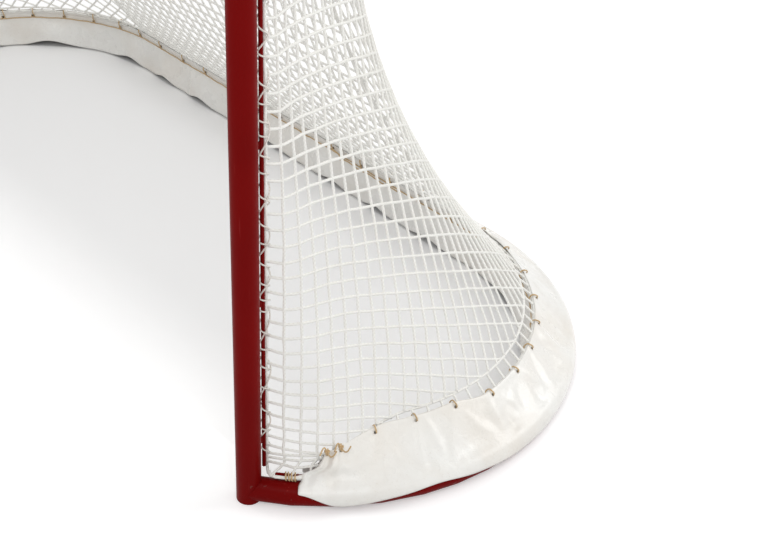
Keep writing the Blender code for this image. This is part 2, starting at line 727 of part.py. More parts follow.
def inner_profile(run, place):
    """Inset and height of the inner flap's points, from its top edge down to the ice."""
    lace, up, out = slope_frame(run)
    hem_share = INNER_HEM_FRONT + (1 - INNER_HEM_FRONT) * skirt_rise(run)
    hole_top = lace - out * INNER_OFFSET - up * INNER_DROP
    hole_low = hole_top - Vector((INNER_LEAN, GROMMET_HOLE + INNER_LEAN))
    lift = INNER_HEM_LIFT + INNER_HEM_RISE * fold(place, 0.0)
    hem = Vector((INNER_HEM * hem_share, lift + SKIRT_THICKNESS / 2))
    middle = hole_low.lerp(hem, 0.5) + Vector((FOLD_INSIDE * FOLD_DEPTH * fold(place, FOLD_SWAY), 0))
    edge = hole_top + Vector((INNER_LEAN / 2, EDGE_WIDTH - TOP_DIP * fold(place, 0.0)))
    return [edge, hole_top, hole_low, middle, hem]


def flap_rows(profile, follows, columns):
    rows = [[] for share in follows]
    for run, place in columns:
        for row, spot, share in zip(rows, profile(run, place), follows):
            row.append(skirt_spot(run, spot, share))
    return rows


def build_skirt():
    columns = skirt_columns()
    for name, profile, follows, hole_row in (("skirt_outer", outer_profile, OUTER_FOLLOWS, 4),
                                             ("skirt_inner", inner_profile, INNER_FOLLOWS, 1)):
        rows = flap_rows(profile, follows, columns)
        flap = grid_mesh(name, rows, grommet_cells(columns, hole_row), skirt_vinyl)
        modifier = flap.modifiers.new("Sheet", 'SOLIDIFY')
        modifier.thickness = SKIRT_THICKNESS
        modifier.offset = 0.0
        modifier.use_even_offset = True
        flap.data.shade_smooth()


# Cords
def report_gap(name, points, diameter, neighbours):
    """Prints how near a cord comes to itself, skipping the points next to each other."""
    least = min((points[a] - points[b]).length
                for a in range(len(points)) for b in range(a + neighbours, len(points)))
    print(f"{name}: least gap to itself {(least - diameter) * 1000:.2f} mm")


def wrap_points(start, end, side_a, side_b, reach_a, reach_b, turns, phase):
    """A flat spiral round a straight rod and the selvage beside it."""
    points = []
    count = round(turns * WRAP_POINTS)
    for step in range(count + 1):
        angle = 2 * math.pi * (step / WRAP_POINTS) + phase
        centre = start.lerp(end, step / count)
        points.append(centre + side_a * (math.cos(angle) * reach_a) + side_b * (math.sin(angle) * reach_b))
    return points


def build_straight_lacings():
    apart = SELVAGE_REACH - ROD_REACH
    reach_across = ROD_R + LACE_CORD / 2 + WRAP_SLACK
    reach_long = apart / 2 + reach_across + WRAP_SLACK
    shift = apart / 2 - (ROD_R - STRAND / 2) / 3
    heights = net_row_heights()
    pitch = (heights[1] - heights[0]) / WRAPS_PER_ROW
    for name, side in (("right", 1), ("left", -1)):
        low = Vector((side * POST_X, POST_Y + ROD_REACH + shift, heights[0] + pitch / 2))
        high = lifted(low, heights[-1] - pitch / 2 - TOP_DIAMETER)
        turns = round((high.z - low.z) / pitch * WRAP_POINTS) / WRAP_POINTS
        high.z = low.z + turns * pitch
        points = wrap_points(low, high, Vector((0, 1, 0)), Vector((side, 0, 0)), reach_long, reach_across,
                             turns, 0.0)
        report_gap("post_lacing_" + name, points, LACE_CORD, 3)
        curve_object("post_lacing_" + name, points, LACE_CORD / 2, 1, white_cord)
    middle = Vector((0, POST_Y + shift, BAR_Z)) + crossbar_rod_direction() * ROD_REACH
    column = 2 * crossbar_rod_half() / BACK_COLUMNS
    half = crossbar_rod_half() - column / 2
    first = middle + Vector((half, 0, 0))
    last = middle - Vector((half, 0, 0))
    points = wrap_points(first, last, Vector((0, 1, 0)), Vector((0, 0, 1)), reach_long, reach_across,
                         BACK_COLUMNS - 1, 0.0)
    report_gap("crossbar_lacing", points, LACE_CORD, 3)
    curve_object("crossbar_lacing", points, LACE_CORD / 2, 1, white_cord)


def inner_hole(run):
    """Middle of the inner flap's grommet row, at any run."""
    inner = inner_profile(run, 0.0)
    return (inner[1] + inner[2]) / 2


def build_skirt_lacing():
    """Out through each pair of grommets, back over the top edges and on along the inside."""
    runs = grommet_runs()
    points = []
    for index, run in enumerate(runs):
        outer = outer_profile(run, 0.0)
        entry = (outer[4] + outer[5]) / 2
        exit_hole = inner_hole(run)
        through = (exit_hole - entry).normalized()
        inside = exit_hole + through * LACE_INSIDE
        outside = entry - through * LACE_OUTSIDE
        over = outer[6] + Vector((-LACE_CORD / 2, LACE_OVER))
        over_inside = inner_profile(run, 0.0)[0] + Vector((LACE_INSIDE, LACE_OVER))
        beside = exit_hole + Vector((LACE_INSIDE, 0))
        stations = [(-LACE_CORD / 2, inside), (-LACE_CORD / 2, outside), (LACE_CORD / 3, over),
                    (LACE_CORD, over_inside), (GROMMET_HOLE, beside)]
        if index < len(runs) - 1:
            for share in (0.4, 0.75):
                shift = share * (runs[index + 1] - run)
                stations.append((shift, inner_hole(run + shift) + Vector((LACE_INSIDE, -LACE_DROOP))))
        for shift, spot in stations:
            points.append(skirt_spot(run + shift, spot, 1))
    report_gap("skirt_lacing", points, LACE_CORD, 3)
    curve_object("skirt_lacing", points, LACE_CORD / 2, 1, tan_cord)


def build_ties():
    """A cord wound round the base tube's lacing rod in front of each end of the skirt."""
    inset, height = base_rod_offset()
    reach = ROD_R + LACE_CORD / 2 + TIE_SLACK
    rod_start, rod_end = base_points(SKIRT_START / 2, SKIRT_START, 1, inset, height)
    along = (rod_end - rod_start).normalized()
    across = Vector((0, 0, 1)).cross(along)
    last = rod_end - along * LACE_CORD
    for name, side in (("right", 1), ("left", -1)):
        points = []
        for step in range(TIE_TURNS * WRAP_POINTS + 1):
            angle = 2 * math.pi * step / WRAP_POINTS
            centre = last - along * (TIE_PITCH * (TIE_TURNS - step / WRAP_POINTS))
            spot = centre + across * (math.cos(angle) * reach) + Vector((0, 0, math.sin(angle) * reach))
            points.append(Vector((side * spot.x, spot.y, spot.z)))
        report_gap("skirt_tie_" + name, points, LACE_CORD, 3)
        curve_object("skirt_tie_" + name, points, LACE_CORD / 2, 1, tan_cord)


build_posts()
build_crossbar()
build_base()
build_top_frame()
build_post_rods()
build_crossbar_rod()
build_base_rods()
build_side_nets()
build_back_net()
build_top_net()
build_skirt()
build_straight_lacings()
build_skirt_lacing()
build_ties()
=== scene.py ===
import bpy, math
import numpy as np
from mathutils import Matrix, Vector


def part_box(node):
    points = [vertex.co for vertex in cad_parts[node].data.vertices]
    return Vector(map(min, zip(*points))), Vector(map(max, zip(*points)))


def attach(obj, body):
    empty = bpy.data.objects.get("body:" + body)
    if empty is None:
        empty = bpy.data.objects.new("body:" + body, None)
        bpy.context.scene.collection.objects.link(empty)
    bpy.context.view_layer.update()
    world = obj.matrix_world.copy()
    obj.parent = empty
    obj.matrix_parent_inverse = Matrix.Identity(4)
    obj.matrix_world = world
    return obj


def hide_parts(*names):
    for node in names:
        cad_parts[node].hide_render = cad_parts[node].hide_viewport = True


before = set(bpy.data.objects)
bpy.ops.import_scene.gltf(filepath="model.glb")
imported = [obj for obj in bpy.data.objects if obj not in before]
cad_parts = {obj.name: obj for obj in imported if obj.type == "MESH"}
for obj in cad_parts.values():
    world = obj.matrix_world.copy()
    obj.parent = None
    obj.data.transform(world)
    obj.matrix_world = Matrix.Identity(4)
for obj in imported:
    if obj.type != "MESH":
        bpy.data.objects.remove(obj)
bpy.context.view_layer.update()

# Ice hockey goal: tube frame, knotted net, laced skirt. Metres, +Z up, the mouth faces -Y.
print("goal: frame loaded,", len(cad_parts), "nodes")

postLow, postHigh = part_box("post_right")
goalSizes = {
    "postX": (postLow.x + postHigh.x) / 2,
    "postY": (postLow.y + postHigh.y) / 2,
    "baseRadius": 0.025,
    "topRadius": 0.01685,
    "rodRadius": 0.004,
    "barZ": 1.245,
    "baseDepth": 1.0,
    "toeOut": 56.0,          # degrees, where the base leaves the post
    "frontBend": 0.569,
    "bendChange": 21.0,
    "topDepth": 0.44,
    "topCorner": 0.29,
    "topToeIn": 26.0,        # degrees, where a top side tube leaves its post
    "netOver": 0.004,        # from the top tube's surface to the net's middle
    "postRodReach": 0.039,
    "selvageReach": 0.047,
    "baseRodAngle": 120.0,
    "baseRodReach": 0.034,
    "laceHeight": 0.130,
    "laceInset": 0.100,
    "skirtStart": 0.100,
    "skirtEase": 0.26,
    "skirtFront": 0.42,
    "laceReach": 0.22,       # length over which the skirt's edge climbs from that share
    "laceBow": 0.78,         # its share of the net's foot beside the front bend
    "laceSide": 0.60,        # round the side
    "laceBack": 0.74,
    "laceSideAt": 0.46,      # where the edge comes down from the bow, and over what length
    "laceSideReach": 0.12,
    "laceBackLead": 0.25,    # how far before the back it climbs again, and over what length
    "laceBackReach": 0.3,
    "rodEase": 0.30,         # length over which the net leaves the rod behind the post
    "footEase": 0.045,       # the same for its bottom edge
}
gs = goalSizes
postX, postY, barZ = gs["postX"], gs["postY"], gs["barZ"]
toe, change = math.radians(gs["toeOut"]), math.radians(gs["bendChange"])
backBend = (gs["baseDepth"] - gs["frontBend"] * (math.sin(toe) - math.sin(change))) / (1 + math.sin(change))
frontArc = gs["frontBend"] * (toe - change)
sideRun = frontArc + backBend * (change + math.pi / 2)
backHalf = postX - gs["frontBend"] * (math.cos(toe) - math.cos(change)) - backBend * math.cos(change)
baseRun = 2 * (sideRun + backHalf)
toeIn = math.radians(gs["topToeIn"])
topStraight = (gs["topDepth"] - gs["topCorner"] * (1 - math.sin(toeIn))) / math.cos(toeIn)
topRun = topStraight + gs["topCorner"] * (math.pi / 2 - toeIn)
topHalf = postX - topStraight * math.sin(toeIn) - gs["topCorner"] * math.cos(toeIn)


def smoothStep(value):
    value = min(max(value, 0.0), 1.0)
    return value * value * (3 - 2 * value)


def baseStation(run):
    mirrored = run > baseRun / 2
    along = baseRun - run if mirrored else run
    frontX = postX - gs["frontBend"] * math.cos(toe)
    frontY = gs["frontBend"] * math.sin(toe)
    if along <= frontArc:
        turn = toe - along / gs["frontBend"]
        x = frontX + gs["frontBend"] * math.cos(turn)
        y = frontY - gs["frontBend"] * math.sin(turn)
    else:
        turn = max(change - (along - frontArc) / backBend, -math.pi / 2)
        x = frontX + (gs["frontBend"] - backBend) * math.cos(change) + backBend * math.cos(turn)
        x -= max(along - sideRun, 0.0)
        y = frontY - (gs["frontBend"] - backBend) * math.sin(change) - backBend * math.sin(turn)
    inward = Vector((-math.cos(turn), math.sin(turn), 0))
    if mirrored:
        x, inward.x = -x, -inward.x
    return Vector((x, postY + y, 0)), inward


def topStation(share, outset=0.0):
    along = share * topRun
    turn = toeIn + max(along - topStraight, 0.0) / gs["topCorner"]
    out = Vector((math.cos(turn), math.sin(turn), 0))
    if along < topStraight:
        point = Vector((postX - along * math.sin(toeIn), postY + along * math.cos(toeIn), 0))
    else:
        point = Vector((topHalf, postY + gs["topDepth"] - gs["topCorner"], 0)) + out * gs["topCorner"]
    return point + out * outset


def lifted(point, height):
    return Vector((point.x, point.y, height))


def overBase(run, spot, pull=Vector((0, 0, 0))):
    # spot gives an inset from the base tube's middle line and a height
    point, inward = baseStation(run)
    return lifted(point + inward * spot.x + pull, spot.y)


def fromPost(run):
    return min(run, baseRun - run)


def netRise(run):
    ease = smoothStep((fromPost(run) - gs["skirtStart"]) / gs["skirtEase"])
    return gs["skirtFront"] + (1 - gs["skirtFront"]) * ease


def skirtRise(run):
    along = fromPost(run)
    down = smoothStep((along - gs["laceSideAt"]) / gs["laceSideReach"])
    full = gs["laceBow"] + (gs["laceSide"] - gs["laceBow"]) * down
    up = smoothStep((along - sideRun + gs["laceBackLead"]) / gs["laceBackReach"])
    full += (gs["laceBack"] - gs["laceSide"]) * up
    return gs["skirtFront"] + (full - gs["skirtFront"]) * smoothStep((along - gs["skirtStart"]) / gs["laceReach"])


def baseRodSpot():
    angle = math.radians(gs["baseRodAngle"])
    return Vector((-math.cos(angle) * gs["baseRodReach"], gs["baseRadius"] + math.sin(angle) * gs["baseRodReach"]))


def netFoot():
    rod = baseRodSpot()
    slope = (Vector((gs["laceInset"], gs["laceHeight"])) - rod).normalized()
    return rod + slope * (gs["rodRadius"] + 0.004)


def footLine(share):
    return netFoot().lerp(Vector((gs["laceInset"], gs["laceHeight"])), share)


def footSpot(run):
    # the net's bottom edge: beside the rod in front of the skirt, up the slope from it behind
    share = smoothStep((fromPost(run) - gs["skirtStart"]) / 0.05)
    low = baseRodSpot() + Vector((-0.0075, 0.001))
    return low.lerp(netFoot(), share) + Vector((0, 0.005 * math.sin(math.pi * share)))


def laceLine(run):
    return footLine(skirtRise(run))


def rodPull(run, inset, ease=gs["rodEase"]):
    # draws what starts at this inset to the lacing rod behind the post
    start, inward = baseStation(0.0)
    seat = Vector((postX, postY + gs["selvageReach"], 0))
    pull = (seat - start - inward * inset) * (1 - smoothStep(fromPost(run) / ease))
    return Vector((pull.x if run <= baseRun / 2 else -pull.x, pull.y, 0))


def addObject(name, data):
    obj = bpy.data.objects.new(name, data)
    bpy.context.scene.collection.objects.link(obj)
    return obj


def addMesh(name, verts, faces, material, smooth=True, uvs=None):
    mesh = bpy.data.meshes.new(name)
    mesh.from_pydata([tuple(v) for v in verts], [], faces)
    mesh.materials.append(material)
    if uvs is not None:
        layer = mesh.uv_layers.new(name="UVMap")
        loops = np.empty(len(mesh.loops), dtype=np.int32)
        mesh.loops.foreach_get("vertex_index", loops)
        layer.data.foreach_set("uv", np.asarray(uvs, dtype=np.float32)[loops].ravel())
    mesh.polygons.foreach_set("use_smooth", [smooth] * len(mesh.polygons))
    mesh.update()
    return addObject(name, mesh)


def smoothPath(points, samples):
    pts = np.array([tuple(p) for p in points], dtype=float)
    padded = np.vstack([2 * pts[0] - pts[1], pts, 2 * pts[-1] - pts[-2]])
    t = np.linspace(0, 1, samples, endpoint=False)[None, :, None]
    a, b, c, d = (padded[k:len(padded) - 3 + k, None, :] for k in range(4))
    curve = 0.5 * (2 * b + (c - a) * t + (2 * a - 5 * b + 4 * c - d) * t ** 2 + (3 * b - a - 3 * c + d) * t ** 3)
    return np.vstack([curve.reshape(-1, 3), pts[-1:]])


def addTubes(name, paths, radius, sides, material):
    # uv: the length along each path, and the share of a turn round it
    verts, faces, uvs, offset = [], [], [], 0
    ring = np.arange(sides)
    angles = 2 * math.pi * ring / sides
    for path in paths:
        pts = np.asarray(path, dtype=float)
        tangents = np.gradient(pts, axis=0)
        tangents /= np.maximum(np.linalg.norm(tangents, axis=1, keepdims=True), 1e-9)
        seed = np.array((0, 0, 1.0)) if abs(tangents[0][2]) < 0.8 else np.array((1.0, 0, 0))
        normal = np.cross(tangents[0], seed)
        normals = np.empty_like(pts)
        for index, tangent in enumerate(tangents):
            normal = normal - tangent * normal.dot(tangent)
            normal /= max(np.linalg.norm(normal), 1e-9)
            normals[index] = normal
        binormals = np.cross(tangents, normals)
        around = (np.cos(angles)[None, :, None] * normals[:, None, :]
                  + np.sin(angles)[None, :, None] * binormals[:, None, :])
        verts.append((pts[:, None, :] + around * radius).reshape(-1, 3))
        lengths = np.concatenate([[0], np.cumsum(np.linalg.norm(np.diff(pts, axis=0), axis=1))])
        uv = np.empty((len(pts), sides, 2))
        uv[:, :, 0] = lengths[:, None]
        uv[:, :, 1] = (ring / sides)[None, :]
        uvs.append(uv.reshape(-1, 2))
        base = offset + np.arange(len(pts) - 1)[:, None] * sides
        here, after = base + ring[None, :], base + (ring[None, :] + 1) % sides
        faces += np.stack([here, after, after + sides, here + sides], axis=-1).reshape(-1, 4).tolist()
        faces.append((offset + ring[::-1]).tolist())
        faces.append((offset + (len(pts) - 1) * sides + ring).tolist())
        offset += len(pts) * sides
    return addMesh(name, np.vstack(verts), faces, material, True, np.vstack(uvs))


def finishPiece(obj, slot, *nodes):
    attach(obj, "root")
    if nodes:
        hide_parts(*nodes)
    return obj


cameraSettings = {
    "place": (postX + 1.612, postY - 1.276, 2.011),
    "yaw": 45.0,
    "pitch": 35.7,
    "roll": 2.92,
    "pixels": 1428.0,        # focal length at a 760 pixel wide picture
}


def buildCamera():
    cs = cameraSettings
    yaw, pitch, roll = (math.radians(cs[key]) for key in ("yaw", "pitch", "roll"))
    forward = Vector((-math.sin(yaw) * math.cos(pitch), math.cos(yaw) * math.cos(pitch), -math.sin(pitch)))
    right = Vector((math.cos(yaw), math.sin(yaw), 0))
    up = right.cross(forward)
    rolledRight = right * math.cos(roll) + up * math.sin(roll)
    rolledUp = up * math.cos(roll) - right * math.sin(roll)
    data = bpy.data.cameras.new("goalCamera")
    data.sensor_fit = 'HORIZONTAL'
    data.sensor_width = 36.0
    data.lens = 36.0 * cs["pixels"] / 760
    data.clip_end = 60
    camera = addObject("goalCamera", data)
    camera.matrix_world = Matrix.LocRotScale(
        Vector(cs["place"]), Matrix((rolledRight, rolledUp, -forward)).transposed(), None)
    bpy.context.scene.camera = camera


buildCamera()
print("goal: camera placed")


def newGroup(name, inputs, outputs):
    group = bpy.data.node_groups.new(name, 'ShaderNodeTree')
    for label, value in inputs.items():
        kind = 'NodeSocketVector' if isinstance(value, tuple) else 'NodeSocketFloat'
        socket = group.interface.new_socket(name=label, in_out='INPUT', socket_type=kind)
        socket.default_value = value
    for label in outputs:
        group.interface.new_socket(name=label, in_out='OUTPUT', socket_type='NodeSocketFloat')
    return group, group.nodes.new('NodeGroupInput'), group.nodes.new('NodeGroupOutput')


def feed(tree, socket, value):
    # links a socket, or sets a constant on it
    if isinstance(value, bpy.types.NodeSocket):
        tree.links.new(value, socket)
    elif value is not None:
        socket.default_value = (*value, 1.0) if isinstance(value, tuple) else value


def mathNode(tree, operation, first, second=None, third=None, clamp=False):
    node = tree.nodes.new('ShaderNodeMath')
    node.operation = operation
    node.use_clamp = clamp
    for socket, value in zip(node.inputs, (first, second, third)):
        feed(tree, socket, value)
    return node.outputs[0]


def times(tree, first, second, clamp=False):
    return mathNode(tree, 'MULTIPLY', first, second, None, clamp)


def splitXyz(tree, source):
    node = tree.nodes.new('ShaderNodeSeparateXYZ')
    tree.links.new(source, node.inputs[0])
    return node.outputs


def mixColor(tree, factor, first, second, blend='MIX'):
    node = tree.nodes.new('ShaderNodeMix')
    node.data_type = 'RGBA'
    node.blend_type = blend
    for k, value in ((0, factor), (6, first), (7, second)):
        feed(tree, node.inputs[k], value)
    return node.outputs[2]


def noiseNode(tree, vector, scale, detail=3.0, roughness=0.5, distortion=0.0):
    node = tree.nodes.new('ShaderNodeTexNoise')
    node.inputs["Detail"].default_value = detail
    node.inputs["Roughness"].default_value = roughness
    node.inputs["Distortion"].default_value = distortion
    feed(tree, node.inputs["Scale"], scale)
    tree.links.new(vector, node.inputs["Vector"])
    return node.outputs["Fac"]


def rangeNode(tree, value, low, high, toLow=0.0, toHigh=1.0):
    node = tree.nodes.new('ShaderNodeMapRange')
    node.interpolation_type = 'SMOOTHSTEP'
    tree.links.new(value, node.inputs["Value"])
    for label, number in (("From Min", low), ("From Max", high), ("To Min", toLow), ("To Max", toHigh)):
        node.inputs[label].default_value = number
    return node.outputs["Result"]


def buildBraidGroup():
    group, source, sink = newGroup(
        "cordBraid", {"Length": 0.0, "Turn": 0.0, "Pitch": 0.006, "Plaits": 2.0, "Cross": 1.0}, ("Height", "GrooveShade"))
    i = source.outputs
    along = times(group, mathNode(group, 'DIVIDE', i["Length"], i["Pitch"]), 2 * math.pi)
    around = times(group, times(group, i["Turn"], i["Plaits"]), 2 * math.pi)
    one = mathNode(group, 'COSINE', mathNode(group, 'ADD', along, around))
    other = mathNode(group, 'COSINE', mathNode(group, 'SUBTRACT', along, around))
    other = times(group, other, i["Cross"])
    both = mathNode(group, 'ADD', one, other)
    height = mathNode(group, 'MULTIPLY_ADD', both, 0.25, 0.5, True)
    # the groove mask is 1 deep in the braid's grooves; the cord materials darken their colour with it there, a
    # painted shade in the grooves
    grooveShade = mathNode(group, 'SUBTRACT', 1.0, mathNode(group, 'POWER', height, 0.6), None, True)
    group.links.new(height, sink.inputs["Height"])
    group.links.new(grooveShade, sink.inputs["GrooveShade"])
    return group


def nearIce(group, where, reach):
    # 1 on the ice, 0 from reach up
    share = mathNode(group, 'DIVIDE', splitXyz(group, where)[2], reach)
    return mathNode(group, 'SUBTRACT', 1.0, share, None, True)


def buildGrimeGroup():
    group, source, sink = newGroup(
        "grimePatches", {"Vector": (0, 0, 0), "Scale": 6.0, "Amount": 0.5, "Reach": 0.3, "Low Share": 0.5},
        ("Mask", "Speckle"))
    i = source.outputs
    low = nearIce(group, i["Vector"], i["Reach"])
    broad = noiseNode(group, i["Vector"], i["Scale"], 5.0, 0.6, 0.4)
    patches = rangeNode(group, broad, 0.42, 0.72)
    even = mathNode(group, 'SUBTRACT', 1.0, i["Low Share"])
    weighted = mathNode(group, 'MULTIPLY_ADD', low, i["Low Share"], even)
    mask = times(group, times(group, patches, weighted), i["Amount"], True)
    fine = noiseNode(group, i["Vector"], 190.0, 2.0, 0.7)
    speckle = times(group, rangeNode(group, fine, 0.6, 0.75), low)
    group.links.new(mask, sink.inputs["Mask"])
    group.links.new(speckle, sink.inputs["Speckle"])
    return group


def buildScuffGroup():
    group, source, sink = newGroup(
        "scuffMarks", {"Vector": (0, 0, 0), "Amount": 0.5, "Chip Reach": 0.12}, ("Scratch", "Chip"))
    i = source.outputs
    streak = group.nodes.new('ShaderNodeMapping')
    streak.inputs["Scale"].default_value = (160.0, 160.0, 9.0)
    streak.inputs["Rotation"].default_value = (0.3, 0.25, 0.2)
    group.links.new(i["Vector"], streak.inputs["Vector"])
    lines = rangeNode(group, noiseNode(group, streak.outputs[0], 1.0, 2.0, 0.4), 0.66, 0.74)
    where = rangeNode(group, noiseNode(group, i["Vector"], 5.0, 3.0), 0.48, 0.62)
    scratch = times(group, times(group, lines, where), i["Amount"], True)
    low = nearIce(group, i["Vector"], i["Chip Reach"])
    flakes = rangeNode(group, noiseNode(group, i["Vector"], 70.0, 4.0, 0.6), 0.64, 0.67)
    chip = times(group, times(group, flakes, low), i["Amount"], True)
    group.links.new(scratch, sink.inputs["Scratch"])
    group.links.new(chip, sink.inputs["Chip"])
    return group


braidGroup, grimeGroup, scuffGroup = buildBraidGroup(), buildGrimeGroup(), buildScuffGroup()


def groupNode(tree, group, values, links):
    node = tree.nodes.new('ShaderNodeGroup')
    node.node_tree = group
    for label, value in values.items():
        node.inputs[label].default_value = value
    for label, source in links.items():
        tree.links.new(source, node.inputs[label])
    return node.outputs


def newMaterial(name, **values):
    material = bpy.data.materials.new(name)
    material.use_nodes = True
    tree = material.node_tree
    shader = tree.nodes["Principled BSDF"]
    for label, value in values.items():
        shader.inputs[label.replace("_", " ")].default_value = value
    return material, tree, shader


def objectPoint(tree):
    return tree.nodes.new('ShaderNodeTexCoord').outputs["Object"]


def bumpNode(tree, shader, height, strength, distance):
    node = tree.nodes.new('ShaderNodeBump')
    node.inputs["Strength"].default_value = strength
    node.inputs["Distance"].default_value = distance
    tree.links.new(height, node.inputs["Height"])
    tree.links.new(node.outputs[0], shader.inputs["Normal"])


paintSettings = {
    "red": (0.182, 0.0026, 0.0024),
    "deep": (0.112, 0.0020, 0.0020),
    "pale": (0.42, 0.060, 0.052),
    "steel": (0.16, 0.11, 0.10),
    "roughness": 0.33,
    "scuffs": 0.55,
    "shine": 0.025,
}


def buildPaint():
    ps = paintSettings
    material, tree, shader = newMaterial("redGlossPaint", Coat_Weight=0.02, Coat_Roughness=0.15, IOR=1.5)
    shader.inputs["Specular IOR Level"].default_value = ps["shine"]
    where = objectPoint(tree)
    grime = groupNode(tree, grimeGroup, {"Scale": 5.0, "Amount": 0.7, "Reach": 0.45, "Low Share": 0.35},
                      {"Vector": where})
    scuff = groupNode(tree, scuffGroup, {"Amount": ps["scuffs"], "Chip Reach": 0.10}, {"Vector": where})
    cloud = rangeNode(tree, noiseNode(tree, where, 2.6, 4.0), 0.35, 0.7)
    color = mixColor(tree, times(tree, cloud, 0.45), ps["red"], ps["deep"])
    color = mixColor(tree, times(tree, grime["Mask"], 0.35), color, ps["deep"])
    color = mixColor(tree, times(tree, scuff["Scratch"], 0.5), color, ps["pale"])
    color = mixColor(tree, scuff["Chip"], color, ps["steel"])
    tree.links.new(color, shader.inputs["Base Color"])
    peel = noiseNode(tree, where, 320.0, 2.0, 0.4)
    rough = mathNode(tree, 'MULTIPLY_ADD', grime["Mask"], 0.25, ps["roughness"])
    rough = mathNode(tree, 'MULTIPLY_ADD', scuff["Scratch"], 0.3, rough)
    tree.links.new(rough, shader.inputs["Roughness"])
    height = mathNode(tree, 'MULTIPLY_ADD', scuff["Chip"], -1.2, times(tree, peel, 0.35))
    bumpNode(tree, shader, height, 0.35, 0.0006)
    return material


# groove is a darker colour painted into the braid's grooves as painted shade; dirt is the colour of the grime
# patches
cordSettings = {
    "net": {"name": "netTwineBraid", "color": (0.93, 0.925, 0.89), "grooveShade": (0.78, 0.765, 0.71),
            "dirt": (0.70, 0.66, 0.57), "pitch": 0.0085, "plaits": 2.0, "cross": 1.0, "bump": 0.0005,
            "amount": 0.16, "rough": 0.80},
    "white": {"name": "whiteLacingBraid", "color": (0.86, 0.83, 0.78), "grooveShade": (0.55, 0.50, 0.44),
              "dirt": (0.66, 0.52, 0.44), "pitch": 0.0055, "plaits": 2.0, "cross": 1.0, "bump": 0.0006,
              "amount": 0.35, "rough": 0.78},
    "tan": {"name": "tanWaxedTwist", "color": (0.66, 0.47, 0.25), "grooveShade": (0.30, 0.185, 0.085),
            "dirt": (0.40, 0.27, 0.13), "pitch": 0.0065, "plaits": 1.0, "cross": 0.0, "bump": 0.0009,
            "amount": 0.6, "rough": 0.62},
}


def buildCord(cs):
    material, tree, shader = newMaterial(cs["name"], Roughness=cs["rough"], Sheen_Weight=0.15)
    split = splitXyz(tree, tree.nodes.new('ShaderNodeUVMap').outputs[0])
    braid = groupNode(tree, braidGroup, {"Pitch": cs["pitch"], "Plaits": cs["plaits"], "Cross": cs["cross"]},
                      {"Length": split[0], "Turn": split[1]})
    where = objectPoint(tree)
    grime = groupNode(tree, grimeGroup, {"Scale": 9.0, "Amount": cs["amount"], "Reach": 0.9, "Low Share": 0.4},
                      {"Vector": where})
    # the braid's grooves take the darker groove colour: painted shade in the grooves, not a different colour of the
    # twine
    color = mixColor(tree, times(tree, braid["GrooveShade"], 0.7), cs["color"], cs["grooveShade"])
    color = mixColor(tree, grime["Mask"], color, cs["dirt"])
    tree.links.new(color, shader.inputs["Base Color"])
    fuzz = noiseNode(tree, where, 900.0, 2.0, 0.7)
    height = mathNode(tree, 'MULTIPLY_ADD', fuzz, 0.35, braid["Height"])
    bumpNode(tree, shader, height, 0.8, cs["bump"])
    return material


skirtSettings = {
    "white": (0.83, 0.825, 0.795),
    "warm": (0.80, 0.745, 0.665),
    "dirt": (0.55, 0.47, 0.38),
    "roughness": 0.27,
    "weave": 620.0,          # threads of the base cloth that show through the coating, to a metre
    "hemThickness": 0.00192,
}


def buildVinyl():
    ss = skirtSettings
    material, tree, shader = newMaterial("whiteCoatedCloth", Coat_Weight=0.25, Coat_Roughness=0.2, IOR=1.5)
    split = splitXyz(tree, tree.nodes.new('ShaderNodeUVMap').outputs[0])
    where = objectPoint(tree)
    grime = groupNode(tree, grimeGroup, {"Scale": 7.0, "Amount": 0.75, "Reach": 0.16, "Low Share": 0.6},
                      {"Vector": where})
    warm = rangeNode(tree, noiseNode(tree, where, 3.2, 4.0, 0.55, 0.6), 0.40, 0.70)
    color = mixColor(tree, times(tree, warm, 0.55), ss["white"], ss["warm"])
    color = mixColor(tree, times(tree, grime["Mask"], 0.30), color, ss["dirt"])
    color = mixColor(tree, times(tree, grime["Speckle"], 0.35), color, ss["dirt"])
    waves = [mathNode(tree, 'SINE', times(tree, split[k], ss["weave"] * math.pi)) for k in (0, 1)]
    threads = times(tree, *waves)
    tree.links.new(color, shader.inputs["Base Color"])
    rough = mathNode(tree, 'MULTIPLY_ADD', noiseNode(tree, where, 24.0, 3.0), 0.16, ss["roughness"] - 0.08)
    tree.links.new(mathNode(tree, 'MULTIPLY_ADD', grime["Mask"], 0.2, rough), shader.inputs["Roughness"])
    wrinkle = noiseNode(tree, where, 38.0, 3.0, 0.55, 1.2)
    height = mathNode(tree, 'MULTIPLY_ADD', threads, 0.035, times(tree, wrinkle, 0.8))
    bumpNode(tree, shader, height, 0.55, 0.0030)
    return material


redPaint = buildPaint()
netTwine, whiteCord, tanCord = (buildCord(cordSettings[key]) for key in ("net", "white", "tan"))
skirtVinyl = buildVinyl()
print("goal: materials made")

steelNodes = [node for name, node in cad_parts.items()
              if "tube" in name or "rod" in name or name in ("post_right", "post_left", "crossbar")]
for node in steelNodes:
    node.data.materials.clear()
    node.data.materials.append(redPaint)
    node.data.shade_smooth()
    weld = node.modifiers.new("weldRings", 'WELD')
    weld.merge_threshold = 0.00005
    edge = node.modifiers.new("hardEnds", 'EDGE_SPLIT')
    edge.split_angle = math.radians(40)
print("goal: paint on", len(steelNodes), "steel pieces")


